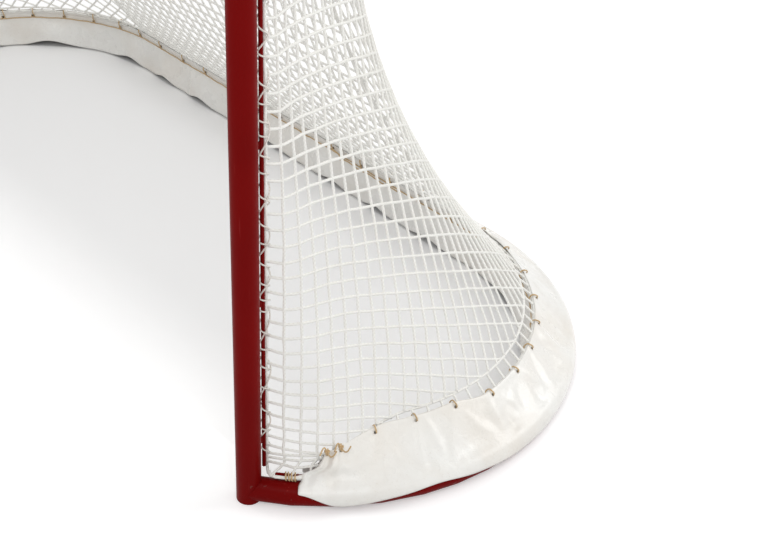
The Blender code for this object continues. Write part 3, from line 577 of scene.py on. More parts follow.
netSettings = {
    "mesh": 0.0335,
    "strand": 0.0028,        # radius
    "sides": 6,
    "samples": 3,
    "footRows": 3,           # between the base rod and the top of the foot
    "flare": 2.05,
    "crowd": 0.15,           # how much closer the rows of the back lie near the base
    "frontCrowd": 1.3,       # rows' worth of crowding at the foot of the post
    "surface": 100,          # steps of the surface that the side rows are laid on
    "stride": 0.004,
    "lastRow": 0.985,        # of the post's height, just below the bar
    "sink": 0.88,            # how fast a row turns downwards behind the post, radians to a metre
    "sinkReach": 0.31,
    "lean": 0.13,            # how far the lowest rows start downwards at the post, radians
    "leanReach": 0.3,
    "topFront": (0.87, 0.0413),  # half width of the top net's front edge, and how far behind the posts
    "topDip": 0.010,
    "droop": 0.008,          # sag of each row beside the post
    "droopReach": 0.035,
    "jitter": 0.0008,
    "seam": 0.0030,          # from a seam's middle to each panel's last strand
}
laceRun = sideRun - gs["laceInset"] * (toe + math.pi / 2)


def sideTop(share):
    seat = Vector((postX, postY + gs["selvageReach"], 0))
    first = (gs["selvageReach"] + 0.005) / gs["topDepth"]
    outside = topStation(max(share, first), gs["topRadius"] + gs["netOver"])
    return seat.lerp(outside, smoothStep(share * 8))


def backTop(share):
    return Vector((topHalf * (1 - 2 * share), postY + gs["topDepth"] + gs["topRadius"] + gs["netOver"], 0))


def netSpot(run, top, t, foot):
    # run places it round the base, top over the same place on the top frame
    lace = footLine(netRise(run))
    if foot < 1:
        spot = footSpot(run).lerp(lace, foot)
        return overBase(run, spot, rodPull(run, spot.x, gs["footEase"] + (gs["rodEase"] - gs["footEase"]) * foot))
    low = overBase(run, lace, rodPull(run, lace.x))
    return lifted(top.lerp(low, (1 - t) ** netSettings["flare"]), lace.y + (barZ - lace.y) * t)


def sagged(spot, along, t):
    ns = netSettings
    drop = ns["droop"] * (1 - math.exp(-along / ns["droopReach"])) * min(1.0, 6 * t) * min(1.0, 8 * (1 - t))
    return spot - Vector((0, 0, max(drop, 0.0)))


def sideSpot(share, t, foot=1):
    # share 0 is the post and 1 the seam behind; t runs from the foot's top to the bar
    return netSpot(sideRun * share, sideTop(share), t, foot)


def surfaceAt(surface, u, v):
    # the point there and its slopes along u and v
    size = len(surface) - 1
    x, y = (min(max(value, 0.0), 0.99999) * size for value in (u, v))
    i, j = int(x), int(y)
    a, b = x - i, y - j
    low, high = (surface[i, k] * (1 - a) + surface[i + 1, k] * a for k in (j, j + 1))
    left, right = (surface[k, j] * (1 - b) + surface[k, j + 1] * b for k in (i, i + 1))
    return low * (1 - b) + high * b, (right - left) * size, (high - low) * size


def layRow(surface, level):
    # a row leaves the post nearly square to it and runs over the surface, turning down a little;
    # it gives its nodes as u and v, and last the place where it meets the panel's edge
    ns = netSettings
    u, v, length = 0.0, level, 0.0
    spot, du, dv = surfaceAt(surface, u, v)
    heading = surfaceAt(surface, 0.06, v)[0] - spot
    heading = heading / np.linalg.norm(heading) - np.array((0, 0, ns["lean"] * math.exp(-level / ns["leanReach"])))
    marks = [(0.0, u, v)]
    while u < 1 and 0 < v < 1:
        normal = np.cross(du, dv)
        heading = heading - normal * heading.dot(normal) / max(normal.dot(normal), 1e-12)
        heading /= np.linalg.norm(heading)
        down = np.cross(heading, normal)
        down /= np.linalg.norm(down) * (1.0 if down[2] < 0 else -1.0)
        heading = heading + down * (ns["sink"] * ns["stride"] * (1 - smoothStep(length / ns["sinkReach"] - 0.5)))
        gram = np.array(((du.dot(du) + 1e-6, du.dot(dv)), (du.dot(dv), dv.dot(dv) + 1e-6)))
        a, b = np.linalg.solve(gram, np.array((du.dot(heading), dv.dot(heading))) * ns["stride"])
        u, v = u + max(a, 1e-5), v + b
        after, du, dv = surfaceAt(surface, u, v)
        length += np.linalg.norm(after - spot)
        spot = after
        marks.append((length, u, v))
    marks = np.array(marks)
    knots = [k * ns["mesh"] for k in range(int(length / ns["mesh"]) + 1)]
    nodes = list(zip(*(np.interp(knots, marks[:, 0], marks[:, k]) for k in (1, 2))))
    return nodes + [(min(u, 1.0), min(max(v, 0.0), 1.0))]


def toEdge(here, before):
    # carries a column on from its last two nodes to the panel's edge
    step = (here[0] - before[0], here[1] - before[1])
    edges = ((0, 1.0), (1, 0.0), (1, 1.0))
    reach = [(edge - here[k]) / step[k] for k, edge in edges if abs(step[k]) > 1e-6]
    reach = min([value for value in reach if value > 0], default=2.0)
    return [] if reach > 1.6 else [(here[0] + step[0] * reach, here[1] + step[1] * reach)]


def sideNode(node, random=None):
    # a node with its sag; those on the seam keep clear of its middle
    spot = sagged(sideSpot(*node), sideRun * node[0], node[1])
    if random and 0.01 < node[0] < 0.99:
        return spot + Vector(random.uniform(-1, 1, 3) * netSettings["jitter"])
    return spot + Vector((netSettings["seam"] * (node[0] > 0.99), 0, 0))


def sidePaths():
    ns = netSettings
    random = np.random.RandomState(11)
    steps = range(ns["surface"] + 1)
    surface = np.array([[tuple(sideSpot(i / steps[-1], j / steps[-1])) for j in steps] for i in steps])
    height = barZ - footLine(netRise(0)).y
    levels = [ns["mesh"] * (k - ns["frontCrowd"] * (1 - math.exp(-k / 3))) / height for k in range(1, 60)]
    rows = [layRow(surface, level) for level in levels if level <= ns["lastRow"]]
    spots = [[sideNode(node, random) for node in row] for row in rows]
    paths = list(spots)
    for k in range(1, max(len(row) for row in rows)):
        held = [j for j, row in enumerate(rows) if k < len(row) - 1]
        if len(held) > 1:
            low = toEdge(rows[held[0]][k], rows[held[1]][k])
            high = toEdge(rows[held[-1]][k], rows[held[-2]][k])
            paths.append([sideNode(node) for node in low] + [spots[j][k] for j in held]
                         + [sideNode(node) for node in high])
    edges = [[(k / 60, t) for k in range(61)] for t in (0.0, 1.0)] + [[(1.0, k / 30) for k in range(31)]]
    paths += [[sideNode(node) for node in edge] for edge in edges]
    count = round(laceRun / ns["mesh"])
    foot = [[sideSpot(k / count, 0.0, level / ns["footRows"]) for k in range(count + 1)]
            for level in range(ns["footRows"] + 1)]
    paths += foot[:-1] + [[line[k] for line in foot] for k in range(count + 1)]
    return [smoothPath(path, ns["samples"]) for path in paths]


def backSpot(arc, level, foot):
    # arc is the distance from the middle of the back; a share of 1 or more lies past a seam
    ns = netSettings
    t = level ** (1 + ns["crowd"])
    half = topHalf + (backHalf - topHalf) * (1 - t) ** ns["flare"]
    share = arc / half
    held = (1 + max(min(share, 1.0), -1.0)) / 2
    spot = netSpot(sideRun + 2 * backHalf * held, backTop(held), t, foot)
    return share, sagged(spot, sideRun, t) if foot >= 1 else spot


def backPaths():
    # a column ends where it meets a seam
    ns = netSettings
    random = np.random.RandomState(11)
    rows = round((barZ - gs["laceHeight"]) / (ns["mesh"] * 0.98))
    levels = [(0.0, k / ns["footRows"]) for k in range(ns["footRows"])]
    levels += [(k / rows, 1.0) for k in range(rows + 1)]
    last = math.floor(backHalf / ns["mesh"])
    columns = {k: [] for k in range(-last, last + 1)}
    across, seams = [], {-1: [], 1: []}
    for index, (level, foot) in enumerate(levels):
        line = []
        for k, column in columns.items():
            share, spot = backSpot(k * ns["mesh"], level, foot)
            wobble = Vector(random.uniform(-1, 1, 3) * ns["jitter"])
            if abs(share) < 1.0:
                if 0 < index < len(levels) - 1 and k:
                    spot += wobble
                line.append(spot)
                column.append(spot)
            elif column and column[-1] is not None:
                column += [spot - Vector((math.copysign(ns["seam"], share), 0, 0)), None]
        for side, seam in seams.items():
            end = backSpot(side * baseRun, level, foot)[1]
            end.x -= math.copysign(ns["seam"], end.x)
            seam.append(end)
            line = [end] + line if side < 0 else line + [end]
        across.append(line)
    paths = across + list(seams.values()) + [[p for p in column if p is not None] for column in columns.values()]
    return [smoothPath(path, ns["samples"]) for path in paths if len(path) > 2]


def netPiece(name, paths, node):
    ns = netSettings
    return finishPiece(addTubes(name, paths, ns["strand"], ns["sides"], netTwine), "net_twine", node)


def buildNets():
    ns = netSettings
    paths = sidePaths()
    netPiece("netSideRight", paths, "net_side_right")
    netPiece("netSideLeft", [path * np.array((-1.0, 1.0, 1.0)) for path in paths], "net_side_left")
    netPiece("netBack", backPaths(), "net_back")
    topRows = round(gs["topDepth"] / ns["mesh"])
    count = round(2 * postX / ns["mesh"])
    random = np.random.RandomState(5)
    grid = []
    for row in range(topRows + 1):
        edge = topStation(row / topRows)
        half, y = (edge.x, edge.y) if row else (ns["topFront"][0], postY + ns["topFront"][1])
        line = []
        for k in range(count + 1):
            side = 1 - 2 * k / count
            dip = ns["topDip"] * (1 - side ** 4) * math.sin(math.pi * row / topRows)
            spot = Vector((half * side, y, barZ + gs["topRadius"] + ns["strand"] + 0.0003 - dip))
            if 0 < row < topRows and 0 < k < count:
                spot += Vector(random.uniform(-1, 1, 3) * ns["jitter"])
            line.append(spot)
        grid.append(line)
    paths = grid + [[line[k] for line in grid] for k in range(count + 1)]
    netPiece("netTop", [smoothPath(path, ns["samples"]) for path in paths], "net_top")


buildNets()
print("goal: net knotted")


flapSettings = {
    "alongStep": 0.0085,
    "acrossSteps": 20,
    "clear": 0.0022,         # between the cloth's middle and the tube
    "hem": -27.0,            # degrees round the tube
    "shoulder": 51.0,
    "hemLift": 62.0,
    "hemEase": 0.087,
    "hemRise": 46.0,
    "hemRiseAt": 0.385,
    "hemRiseReach": 0.15,
    "hemRipples": ((3.0, 23.0, 0.0), (2.0, 51.0, 1.0)),
    "offset": 0.0046,        # from the net's middle to each flap
    "edge": 0.010,           # cloth above the lacing line
    "foldDepth": 0.023,      # of the gathers between two holes, before they hang
    "foldEven": 0.70,        # share of it that every gather has; the rest differs
    "foldSecond": 0.22,      # share of a narrower fold in some of them
    "cutBend": 0.12,         # share of the tube's bend that the outer flap is cut to
    "frontLean": 0.026,      # how far the front corner is drawn towards the post
    "leanReach": 0.07,
    "sideHoles": 13,
    "backHoles": 12,
    "firstHole": 0.112,
    "innerSteps": 14,
    "innerHem": 0.103,
    "innerFront": 0.72,      # share of that in front
    "hemWave": 0.017,        # how high the inner hem's waves lift it off the ice
}


def laceRuns():
    fs = flapSettings
    side = [(k + 0.5) * sideRun / fs["sideHoles"] for k in range(fs["sideHoles"])]
    side = [fs["firstHole"]] + [run + 0.006 * math.sin(run * 47) for run in side if run > fs["firstHole"] + 0.03]
    back = [sideRun + (k + 0.5) * 2 * backHalf / fs["backHoles"] for k in range(fs["backHoles"])]
    return side + back + [baseRun - run for run in reversed(side)]


holeRuns = laceRuns()
slopeUp = (Vector((gs["laceInset"], gs["laceHeight"])) - netFoot()).normalized()
slopeOut = Vector((-slopeUp.y, slopeUp.x))


def foldShare(run):
    # how deep the cloth is gathered there: none at the holes, most between two of them
    fs = flapSettings
    before = max([h for h in holeRuns if h <= run], default=gs["skirtStart"])
    after = min([h for h in holeRuns if h > run], default=baseRun - gs["skirtStart"])
    place = (run - before) / max(after - before, 1e-6)
    height = fs["foldEven"] + (1 - fs["foldEven"]) * math.sin(before * 61.0 + 0.7)
    second = fs["foldSecond"] * math.sin(2 * math.pi * place) * math.sin(before * 37.0)
    return max(math.sin(math.pi * place) ** 0.8 * height + second, 0.0)


def hemAngle(run):
    fs = flapSettings
    along = fromPost(run)
    front = 1 - smoothStep((along - gs["skirtStart"]) / fs["hemEase"])
    drawnUp = math.exp(-((along - fs["hemRiseAt"]) / fs["hemRiseReach"]) ** 2)
    ripple = sum(size * math.sin(run * rate + turn) for size, rate, turn in fs["hemRipples"])
    return fs["hem"] + fs["hemLift"] * front + fs["hemRise"] * drawnUp + ripple * (1 - front)


def outerSection(run, gather):
    # from the hem up round the tube, over the rod and up the net's foot
    fs = flapSettings
    ring = gs["baseRadius"] + fs["clear"]
    hem = hemAngle(run)
    depth = fs["foldDepth"] * gather
    points = []
    for share in (0.0, 0.5, 1.0):
        turn = math.radians(hem + share * (fs["shoulder"] - hem))
        points.append(Vector((-math.cos(turn) * ring, gs["baseRadius"] + math.sin(turn) * ring)))
    overRod = gs["rodRadius"] + fs["clear"] + 0.5 * depth
    points.append(baseRodSpot() + slopeOut * overRod - slopeUp * gs["rodRadius"])
    top = laceLine(run) + slopeOut * fs["offset"]
    points.append(points[3].lerp(top, 0.6) + slopeOut * (0.5 * depth))
    points.append(top + slopeOut * (0.55 * depth))
    points.append(top + slopeUp * fs["edge"] + slopeOut * (0.4 * depth))
    return points


def innerReach(run):
    fs = flapSettings
    return fs["innerHem"] * (fs["innerFront"] + (1 - fs["innerFront"]) * skirtRise(run))


def innerSection(run, gather):
    # from the hem on the ice up the inside of the net's foot
    fs = flapSettings
    wave = 0.5 + 0.5 * math.sin(run * 27.0 + 1.6 * math.sin(run * 7.3))
    top = laceLine(run) - slopeOut * fs["offset"]
    hem = Vector((innerReach(run) + 0.010 * (wave - 0.4), 0.0018 + fs["hemWave"] * wave ** 2))
    low = top + Vector((0.003, -0.017))
    middle = low.lerp(hem, 0.55) + Vector((0.006 * (wave - 0.5) + 0.004 * gather, 0))
    return [hem, middle, low, top, top + slopeUp * fs["edge"]]


def resample(points, count):
    pts = smoothPath([(p.x, p.y, 0) for p in points], 8)
    lengths = np.concatenate([[0], np.cumsum(np.linalg.norm(np.diff(pts, axis=0), axis=1))])
    wanted = np.linspace(0, lengths[-1], count + 1)
    return np.stack([np.interp(wanted, lengths, pts[:, k]) for k in (0, 1)], axis=1), wanted


def flapGrid(section, steps, follow):
    # spread holds each point's place on the flat cloth; follow gives how far a row goes with the net's edge
    fs = flapSettings
    start, end = gs["skirtStart"], baseRun - gs["skirtStart"]
    count = round((end - start) / fs["alongStep"])
    grid = {"count": count, "steps": steps, "runs": [], "inward": [], "spots": [], "spread": [], "place": []}
    for column in range(count + 1):
        run = start + (end - start) * column / count
        point, inward = baseStation(run)
        spots = resample(section(run, foldShare(run)), steps)[0]
        lengths = resample(section(run, 0.0), steps)[1]
        pull = rodPull(run, laceLine(run).x)
        lean = fs["frontLean"] * math.exp(-((fromPost(run) - start) / fs["leanReach"]) ** 2)
        ahead = Vector((-inward.y, inward.x, 0)) * (lean if run < baseRun / 2 else -lean)
        for row, (spot, length) in enumerate(zip(spots, lengths)):
            share = smoothStep(follow(row / steps))
            place = point + inward * spot[0] + pull * share - ahead * share * row / steps
            grid["place"].append(tuple(lifted(place, spot[1])))
            grid["spots"].append(spot)
            grid["spread"].append((run, length))
        grid["runs"].append(run)
        grid["inward"].append(inward)
    return grid


def flapFaces(grid, holeRow):
    # one cell is left out for each hole
    count, steps = grid["count"], grid["steps"]
    width, holes, faces = steps + 1, set(), []
    for run in holeRuns:
        column = min(range(count), key=lambda c: abs((grid["runs"][c] + grid["runs"][c + 1]) / 2 - run))
        holes.add((column, holeRow))
    for c in range(count):
        for r in range(steps):
            if (c, r) not in holes:
                faces.append((c * width + r, (c + 1) * width + r, (c + 1) * width + r + 1, c * width + r + 1))
    return faces, sorted(holes)


def flatCut(grid, bend, line):
    # the cloth before it was hung: its length follows the row named by line
    width = grid["steps"] + 1
    place = np.array(grid["place"]).reshape(-1, width, 3)
    across = np.array(grid["spread"])[:, 1].reshape(-1, width)
    across = across - across[:, line:line + 1]
    along = np.linalg.norm(np.diff(place[:, line], axis=0), axis=1)
    turns = np.array([math.atan2(v.y, -v.x) for v in grid["inward"]])
    heading = np.unwrap(turns) * bend
    middle = (heading[1:] + heading[:-1]) / 2
    steps = np.stack([np.cos(middle), np.sin(middle)], axis=1) * along[:, None]
    spine = np.vstack([np.zeros((1, 2)), np.cumsum(steps, axis=0)])
    side = np.stack([-np.sin(heading), np.cos(heading)], axis=1)
    sign = 1.0 if heading[-1] > heading[0] or not bend else -1.0
    cut = spine[:, None, :] + side[:, None, :] * across[:, :, None] * sign
    return np.dstack([cut, np.zeros(cut.shape[:2])]).reshape(-1, 3), float(along.sum())


def cutArea(cut, faces):
    corners = cut[np.array(faces)]
    one, other = corners[:, 2] - corners[:, 0], corners[:, 3] - corners[:, 1]
    return float(np.abs(one[:, 0] * other[:, 1] - one[:, 1] * other[:, 0]).sum() / 2)


hangSettings = {
    "frames": 28,
    "quality": 9,
    "mass": 0.04,
    "tension": 30.0,
    "bending": 0.5,
    "shear": 12.0,
    "damping": 6.0,
    "reach": 0.024,          # the furthest that a point may move
    "gap": 0.0014,           # kept from the cloth's middle to the tube and its rod
}


def hang(obj, grid, cut, held):
    hs = hangSettings
    obj.shape_key_add(name="start")
    flat = obj.shape_key_add(name="cut")
    flat.data.foreach_set("co", cut.ravel())
    group = obj.vertex_groups.new(name="held")
    for index, weight in held.items():
        group.add([index], weight, 'REPLACE')
    tube = [lifted(baseStation(baseRun * k / 160)[0], gs["baseRadius"]) for k in range(161)]
    block = addTubes("tubeBlock", [tube], gs["baseRadius"] + 0.0002, 20, redPaint)
    block.modifiers.new("block", 'COLLISION')
    block.collision.thickness_outer = 0.001
    cloth = obj.modifiers.new("hang", 'CLOTH')
    cs = cloth.settings
    cs.quality, cs.mass, cs.air_damping = hs["quality"], hs["mass"], hs["damping"]
    cs.tension_stiffness = cs.compression_stiffness = hs["tension"]
    cs.shear_stiffness, cs.bending_stiffness = hs["shear"], hs["bending"]
    cs.vertex_group_mass, cs.rest_shape_key = "held", flat
    cloth.collision_settings.distance_min = 0.001
    cloth.point_cache.frame_start, cloth.point_cache.frame_end = 1, hs["frames"]
    scene = bpy.context.scene
    for moment in range(1, hs["frames"] + 1):
        scene.frame_set(moment)
    hung = obj.evaluated_get(bpy.context.evaluated_depsgraph_get())
    place = np.empty(len(obj.data.vertices) * 3)
    hung.data.vertices.foreach_get("co", place)
    obj.modifiers.remove(cloth)
    obj.shape_key_clear()
    obj.vertex_groups.remove(group)
    data = block.data
    bpy.data.objects.remove(block)
    bpy.data.meshes.remove(data)
    scene.frame_set(1)
    settle(obj, grid, place.reshape(-1, 3))


def settle(obj, grid, place):
    # keeps the hung cloth off the tube, its rod and the net
    fs = flapSettings
    width = grid["steps"] + 1
    start, spots = np.array(grid["place"]), np.array(grid["spots"])
    inward = np.repeat(np.array([tuple(v) for v in grid["inward"]]), width, axis=0)
    moved = place - start
    size = np.maximum(np.linalg.norm(moved, axis=1), 1e-9)
    moved *= np.minimum(1.0, hangSettings["reach"] / size)[:, None]
    here = spots + np.stack([(moved * inward).sum(axis=1), moved[:, 2]], axis=1)
    kept = here.copy()
    for centre, radius in (((0.0, gs["baseRadius"]), gs["baseRadius"]), (tuple(baseRodSpot()), gs["rodRadius"])):
        away = kept - np.array(centre)
        far = np.maximum(np.linalg.norm(away, axis=1), 1e-9)
        kept = np.array(centre) + away * np.maximum(1.0, (radius + hangSettings["gap"]) / far)[:, None]
    foot, up, out = (np.array(v) for v in (netFoot(), slopeUp, slopeOut))
    above = (kept - foot) @ up > -0.006
    short = np.where(above, np.maximum(fs["offset"] - 0.0008 - (kept - foot) @ out, 0.0), 0.0)
    kept += short[:, None] * out
    change = kept - here
    final = start + moved + inward * change[:, :1]
    final[:, 2] += change[:, 1]
    obj.data.vertices.foreach_set("co", final.ravel())
    obj.data.update()
    print("goal: cloth moved", round(float(size.mean()) * 1000, 1), "mm on average, at most",
          round(float(size.max()) * 1000, 1))


def finishCloth(obj, grid):
    # doubled hems along both edges, and half of that between them
    width = grid["steps"] + 1
    group = obj.vertex_groups.new(name="hems")
    for index in range(len(obj.data.vertices)):
        row = index % width
        group.add([index], 1.0 if min(row, grid["steps"] - row) <= 1 else 0.5, 'REPLACE')
    smooth = obj.modifiers.new("roundFolds", 'SUBSURF')
    smooth.levels = smooth.render_levels = 1
    solid = obj.modifiers.new("cloth", 'SOLIDIFY')
    solid.thickness = skirtSettings["hemThickness"]
    solid.offset = 0.0
    solid.vertex_group = "hems"
    solid.thickness_vertex_group = 0.0


def buildFlap(name, section, steps, follow, holeRow, bend, line):
    # line names the row that the flat cut's length is taken along
    grid = flapGrid(section, steps, follow)
    faces, holes = flapFaces(grid, holeRow)
    cut, length = flatCut(grid, bend, line)
    obj = addMesh(name, grid["place"], faces, skirtVinyl, True, grid["spread"])
    width = max(row for _, row in grid["spread"])
    size = {"flat": (round(width, 4), round(length, 4)), "area": round(cutArea(cut, faces), 4)}
    size["area"] = min(size["area"], round(size["flat"][0] * size["flat"][1], 4))
    return obj, grid, holes, cut, size


def cellPoint(grid, hole, rows):
    # the middle of a hole's two columns over these rows
    width = grid["steps"] + 1
    picked = [Vector(grid["place"][(hole[0] + side) * width + row]) for side in (0, 1) for row in rows]
    return sum(picked, Vector()) / len(picked)


def buildSkirt():
    fs = flapSettings
    steps = fs["acrossSteps"]
    outer, grid, holes, cut, size = buildFlap("skirtOuter", outerSection, steps, lambda v: (v - 0.4) / 0.3,
                                              steps - 2, fs["cutBend"], 5)
    width = steps + 1
    held = {column * width: 1.0 for column in range(grid["count"] + 1)}
    for column, row in holes:
        for side in (0, 1):
            for level in range(row - 1, steps + 1):
                held[(column + side) * width + level] = 1.0
    hang(outer, grid, cut, held)
    finishCloth(outer, grid)
    finishPiece(outer, "skirt_vinyl", "skirt_outer")
    print("goal: outer flap", size)
    inner, innerGrid, innerHoles, cut, size = buildFlap("skirtInner", innerSection, fs["innerSteps"],
                                                        lambda v: (v - 0.2) / 0.5, fs["innerSteps"] - 3, 0.0, 7)
    finishCloth(inner, innerGrid)
    finishPiece(inner, "skirt_vinyl", "skirt_inner")
    print("goal: inner flap", size)
    top = fs["innerSteps"]
    return [{"run": run, "outerHole": cellPoint(grid, hole, (steps - 2, steps - 1)),
             "outerEdge": cellPoint(grid, hole, (steps,)),
             "innerHole": cellPoint(innerGrid, other, (top - 3, top - 2)),
             "innerEdge": cellPoint(innerGrid, other, (top,))}
            for run, hole, other in zip(holeRuns, holes, innerHoles)]


laceHoles = buildSkirt()
print("goal: skirt hung,", len(laceHoles), "holes")


laceSettings = {
    "cord": 0.0015,          # radius
    "samples": 14,           # points of a wrap
    "pitch": 0.044,          # between the wraps on the posts
    "secondPitch": 2.6,      # times as long for the cord that crosses them
    "wrap": (0.0118, 0.0066),
    "secondWrap": (0.0126, 0.0072),
    "shift": 0.0035,         # of the wraps' middle behind the rod
    "low": 0.085,
    "high": 1.205,
    "barHalf": 0.80,
    "barPitch": 0.05,
    "barWrap": (0.0115, 0.0066),
    "barRise": 31.5,         # degrees, the crossbar's rod above its middle
    "selvage": 0.0030,
    "tan": 0.0016,
    "tieTurns": 4,
    "tieStart": 0.070,
    "tieEnd": 0.096,
    "joinRun": 1.835,        # where a second length of cord is knotted on, behind
}


def spiral(start, end, sides, reach, pitch, seed):
    # sides are the two directions of a wrap, reach its half size along each; the wraps are uneven
    samples = laceSettings["samples"]
    random = np.random.RandomState(seed)
    length = (end - start).length
    turns = round(length / pitch)
    marks = np.cumsum(random.uniform(0.55, 1.45, turns + 1))
    marks = np.concatenate([[0], marks / marks[-1]])
    points = []
    for step in range((turns + 1) * samples + 1):
        turn = step / samples
        k = min(int(turn), turns)
        along = marks[k] + (marks[k + 1] - marks[k]) * (turn - k)
        angle = 2 * math.pi * turn
        wobble = 1 + 0.06 * math.sin(turn * 2.7 + seed)
        centre = start.lerp(end, along)
        points.append(centre + sides[0] * (math.cos(angle) * reach[0] * wobble)
                      + sides[1] * (math.sin(angle) * reach[1]))
    return smoothPath(points, 2)


def buildStraightLacings():
    ls = laceSettings
    back = Vector((0, 1, 0))
    for name, side in (("Right", 1), ("Left", -1)):
        low = Vector((side * postX, postY + gs["postRodReach"] + ls["shift"], ls["low"]))
        high = lifted(low, ls["high"])
        path = spiral(low, high, (back, Vector((side, 0, 0))), ls["wrap"], ls["pitch"], 3 + side)
        second = spiral(low + Vector((0, 0, 0.02)), high, (back, Vector((-side, 0, 0))), ls["secondWrap"],
                        ls["pitch"] * ls["secondPitch"], 8 + side)
        lacing = addTubes("postLacing" + name, [path, second], ls["cord"], 8, whiteCord)
        finishPiece(lacing, "white_cord", "post_lacing_" + name.lower())
        edge = [Vector((side * (postX + 0.0008 * math.sin(k * 1.7)), postY + gs["selvageReach"]
                        + 0.0009 * math.sin(k * 0.9), 0.062 + 0.019 * k)) for k in range(62)]
        selvage = addTubes("netEdge" + name, [smoothPath(edge, 3)], ls["selvage"], 8, netTwine)
        finishPiece(selvage, "net_twine")
    rise, reach = math.radians(ls["barRise"]), gs["postRodReach"]
    middle = Vector((0, postY + ls["shift"] + math.cos(rise) * reach, barZ + math.sin(rise) * reach))
    half = Vector((ls["barHalf"], 0, 0))
    path = spiral(middle + half, middle - half, (back, Vector((0, 0, 1))), ls["barWrap"], ls["barPitch"], 21)
    lacing = addTubes("crossbarLacing", [path], ls["cord"], 8, whiteCord)
    finishPiece(lacing, "white_cord", "crossbar_lacing")


def slopeSides(run):
    # out of the net's foot and up along it
    inward = baseStation(run)[1]
    return [inward * way.x + Vector((0, 0, way.y)) for way in (slopeOut, slopeUp)]


def knotPath(centre, across, up, size):
    # a trefoil
    third = across.cross(up)
    turns = [2 * math.pi * k / 40 for k in range(41)]
    return [centre + across * (size * (math.sin(t) + 2 * math.sin(2 * t)))
            + up * (size * (math.cos(t) - 2 * math.cos(2 * t)))
            + third * (size * 1.2 * math.sin(3 * t)) for t in turns]


def tailPath(start, way, drop, length, bend):
    # a loose end that sags by drop and bows towards bend
    points = []
    for k in range(9):
        share = k / 8
        points.append(start + way * (length * share) + bend * (length * 0.4 * math.sin(math.pi * share))
                      - Vector((0, 0, drop * share ** 2)))
    return smoothPath(points, 3)


def buildSkirtLacing():
    # out through each pair of holes, up over the two edges and on along the inside
    ls = laceSettings
    points, extras = [], []
    for index, hole in enumerate(laceHoles):
        out, up = slopeSides(hole["run"])
        ahead = (out.cross(up)).normalized() * 0.003
        points += [hole["innerHole"] - out * 0.0035 - ahead, hole["outerHole"] + out * 0.0034 - ahead * 0.5,
                   hole["outerEdge"] + out * 0.0026 + up * 0.0012,
                   (hole["outerEdge"] + hole["innerEdge"]) / 2 + up * 0.0034,
                   hole["innerEdge"] - out * 0.0034 + ahead * 0.5, hole["innerHole"] - out * 0.0046 + ahead]
        if index < len(laceHoles) - 1:
            after = laceHoles[index + 1]
            steps = max(2, round((after["run"] - hole["run"]) / 0.03))
            for k in range(1, steps):
                share = k / steps
                run = hole["run"] + (after["run"] - hole["run"]) * share
                section = innerSection(run, 0.0)
                spot = section[2].lerp(section[3], 0.5) + Vector((0.0048, -0.004 * math.sin(math.pi * share)))
                points.append(overBase(run, spot, rodPull(run, laceLine(run).x)))
    for end in (0, 1, len(laceHoles) - 2, len(laceHoles) - 1):
        hole = laceHoles[end]
        out, up = slopeSides(hole["run"])
        side = out.cross(up).normalized() * (1 if end < 2 else -1)
        knot = hole["outerEdge"] * 0.55 + hole["outerHole"] * 0.45 + out * 0.006
        extras.append(knotPath(knot, side, up, 0.0016))
        extras.append(tailPath(knot, side * 0.5 + out * 0.5 - up * 0.2, 0.006, 0.026, up))
        extras.append(tailPath(knot, out * 0.6 - side * 0.6 + up * 0.3, 0.012, 0.032, -up))
    second = []
    for k in range(9):
        run = ls["joinRun"] - k * 0.026
        spot = innerSection(run, 0.0)[2] + Vector((0.0078, 0.001 + 0.002 * math.sin(k * 1.9)))
        second.append(overBase(run, spot))
    knot = second[0] + Vector((0, -0.002, 0.003))
    extras += [smoothPath(second, 4), knotPath(knot, Vector((1, 0, 0)), Vector((0, 0, 1)), 0.0022),
               tailPath(knot, Vector((-0.12, -0.10, 1.0)), 0.0, 0.088, Vector((0.25, 0, 0))),
               tailPath(knot, Vector((-0.75, -0.25, 0.5)), 0.0, 0.034, Vector((0, 0, 0.3)))]
    lacing = addTubes("skirtLacing", [smoothPath(points, 4)] + extras, ls["tan"], 8, tanCord)
    finishPiece(lacing, "tan_cord", "skirt_lacing")


def buildTies():
    ls = laceSettings
    rod = baseRodSpot()
    for name, side in (("Right", 1), ("Left", -1)):
        points = []
        for step in range(ls["tieTurns"] * 12 + 1):
            share = step / (ls["tieTurns"] * 12)
            run = ls["tieStart"] + (ls["tieEnd"] - ls["tieStart"]) * (share + 0.03 * math.sin(share * 19))
            angle = 2 * math.pi * share * ls["tieTurns"]
            spot = rod + Vector((-0.0034, 0.0006)) + Vector((math.cos(angle) * 0.0094, math.sin(angle) * 0.0066))
            place = overBase(run, spot)
            points.append(Vector((side * place.x, place.y, place.z)))
        tie = addTubes("skirtTie" + name, [smoothPath(points, 2)], ls["tan"], 8, tanCord)
        finishPiece(tie, "tan_cord", "skirt_tie_" + name.lower())
    foot = []
    for step in range(241):
        run = baseRun * (0.006 + 0.988 * step / 240)
        spot = footSpot(run) + Vector((0, 0.0006 * math.sin(step * 1.9)))
        foot.append(overBase(run, spot, rodPull(run, spot.x, gs["footEase"])))
    edge = addTubes("netFootEdge", [smoothPath(foot, 2)], ls["selvage"], 8, netTwine)
    finishPiece(edge, "net_twine")


buildStraightLacings()
buildSkirtLacing()
buildTies()
print("goal: lacings wound")


stageSettings = {
    "floor": (0.80, 0.80, 0.80),
    "world": 0.68,
    "inner": 0.33,           # share of that left on the ice inside the goal; the glow held back there is a painted shade inside the goal
    "far": 0.85,             # and far from the goal
    "lift": 0.33,            # what the camera alone sees added to the floor
}


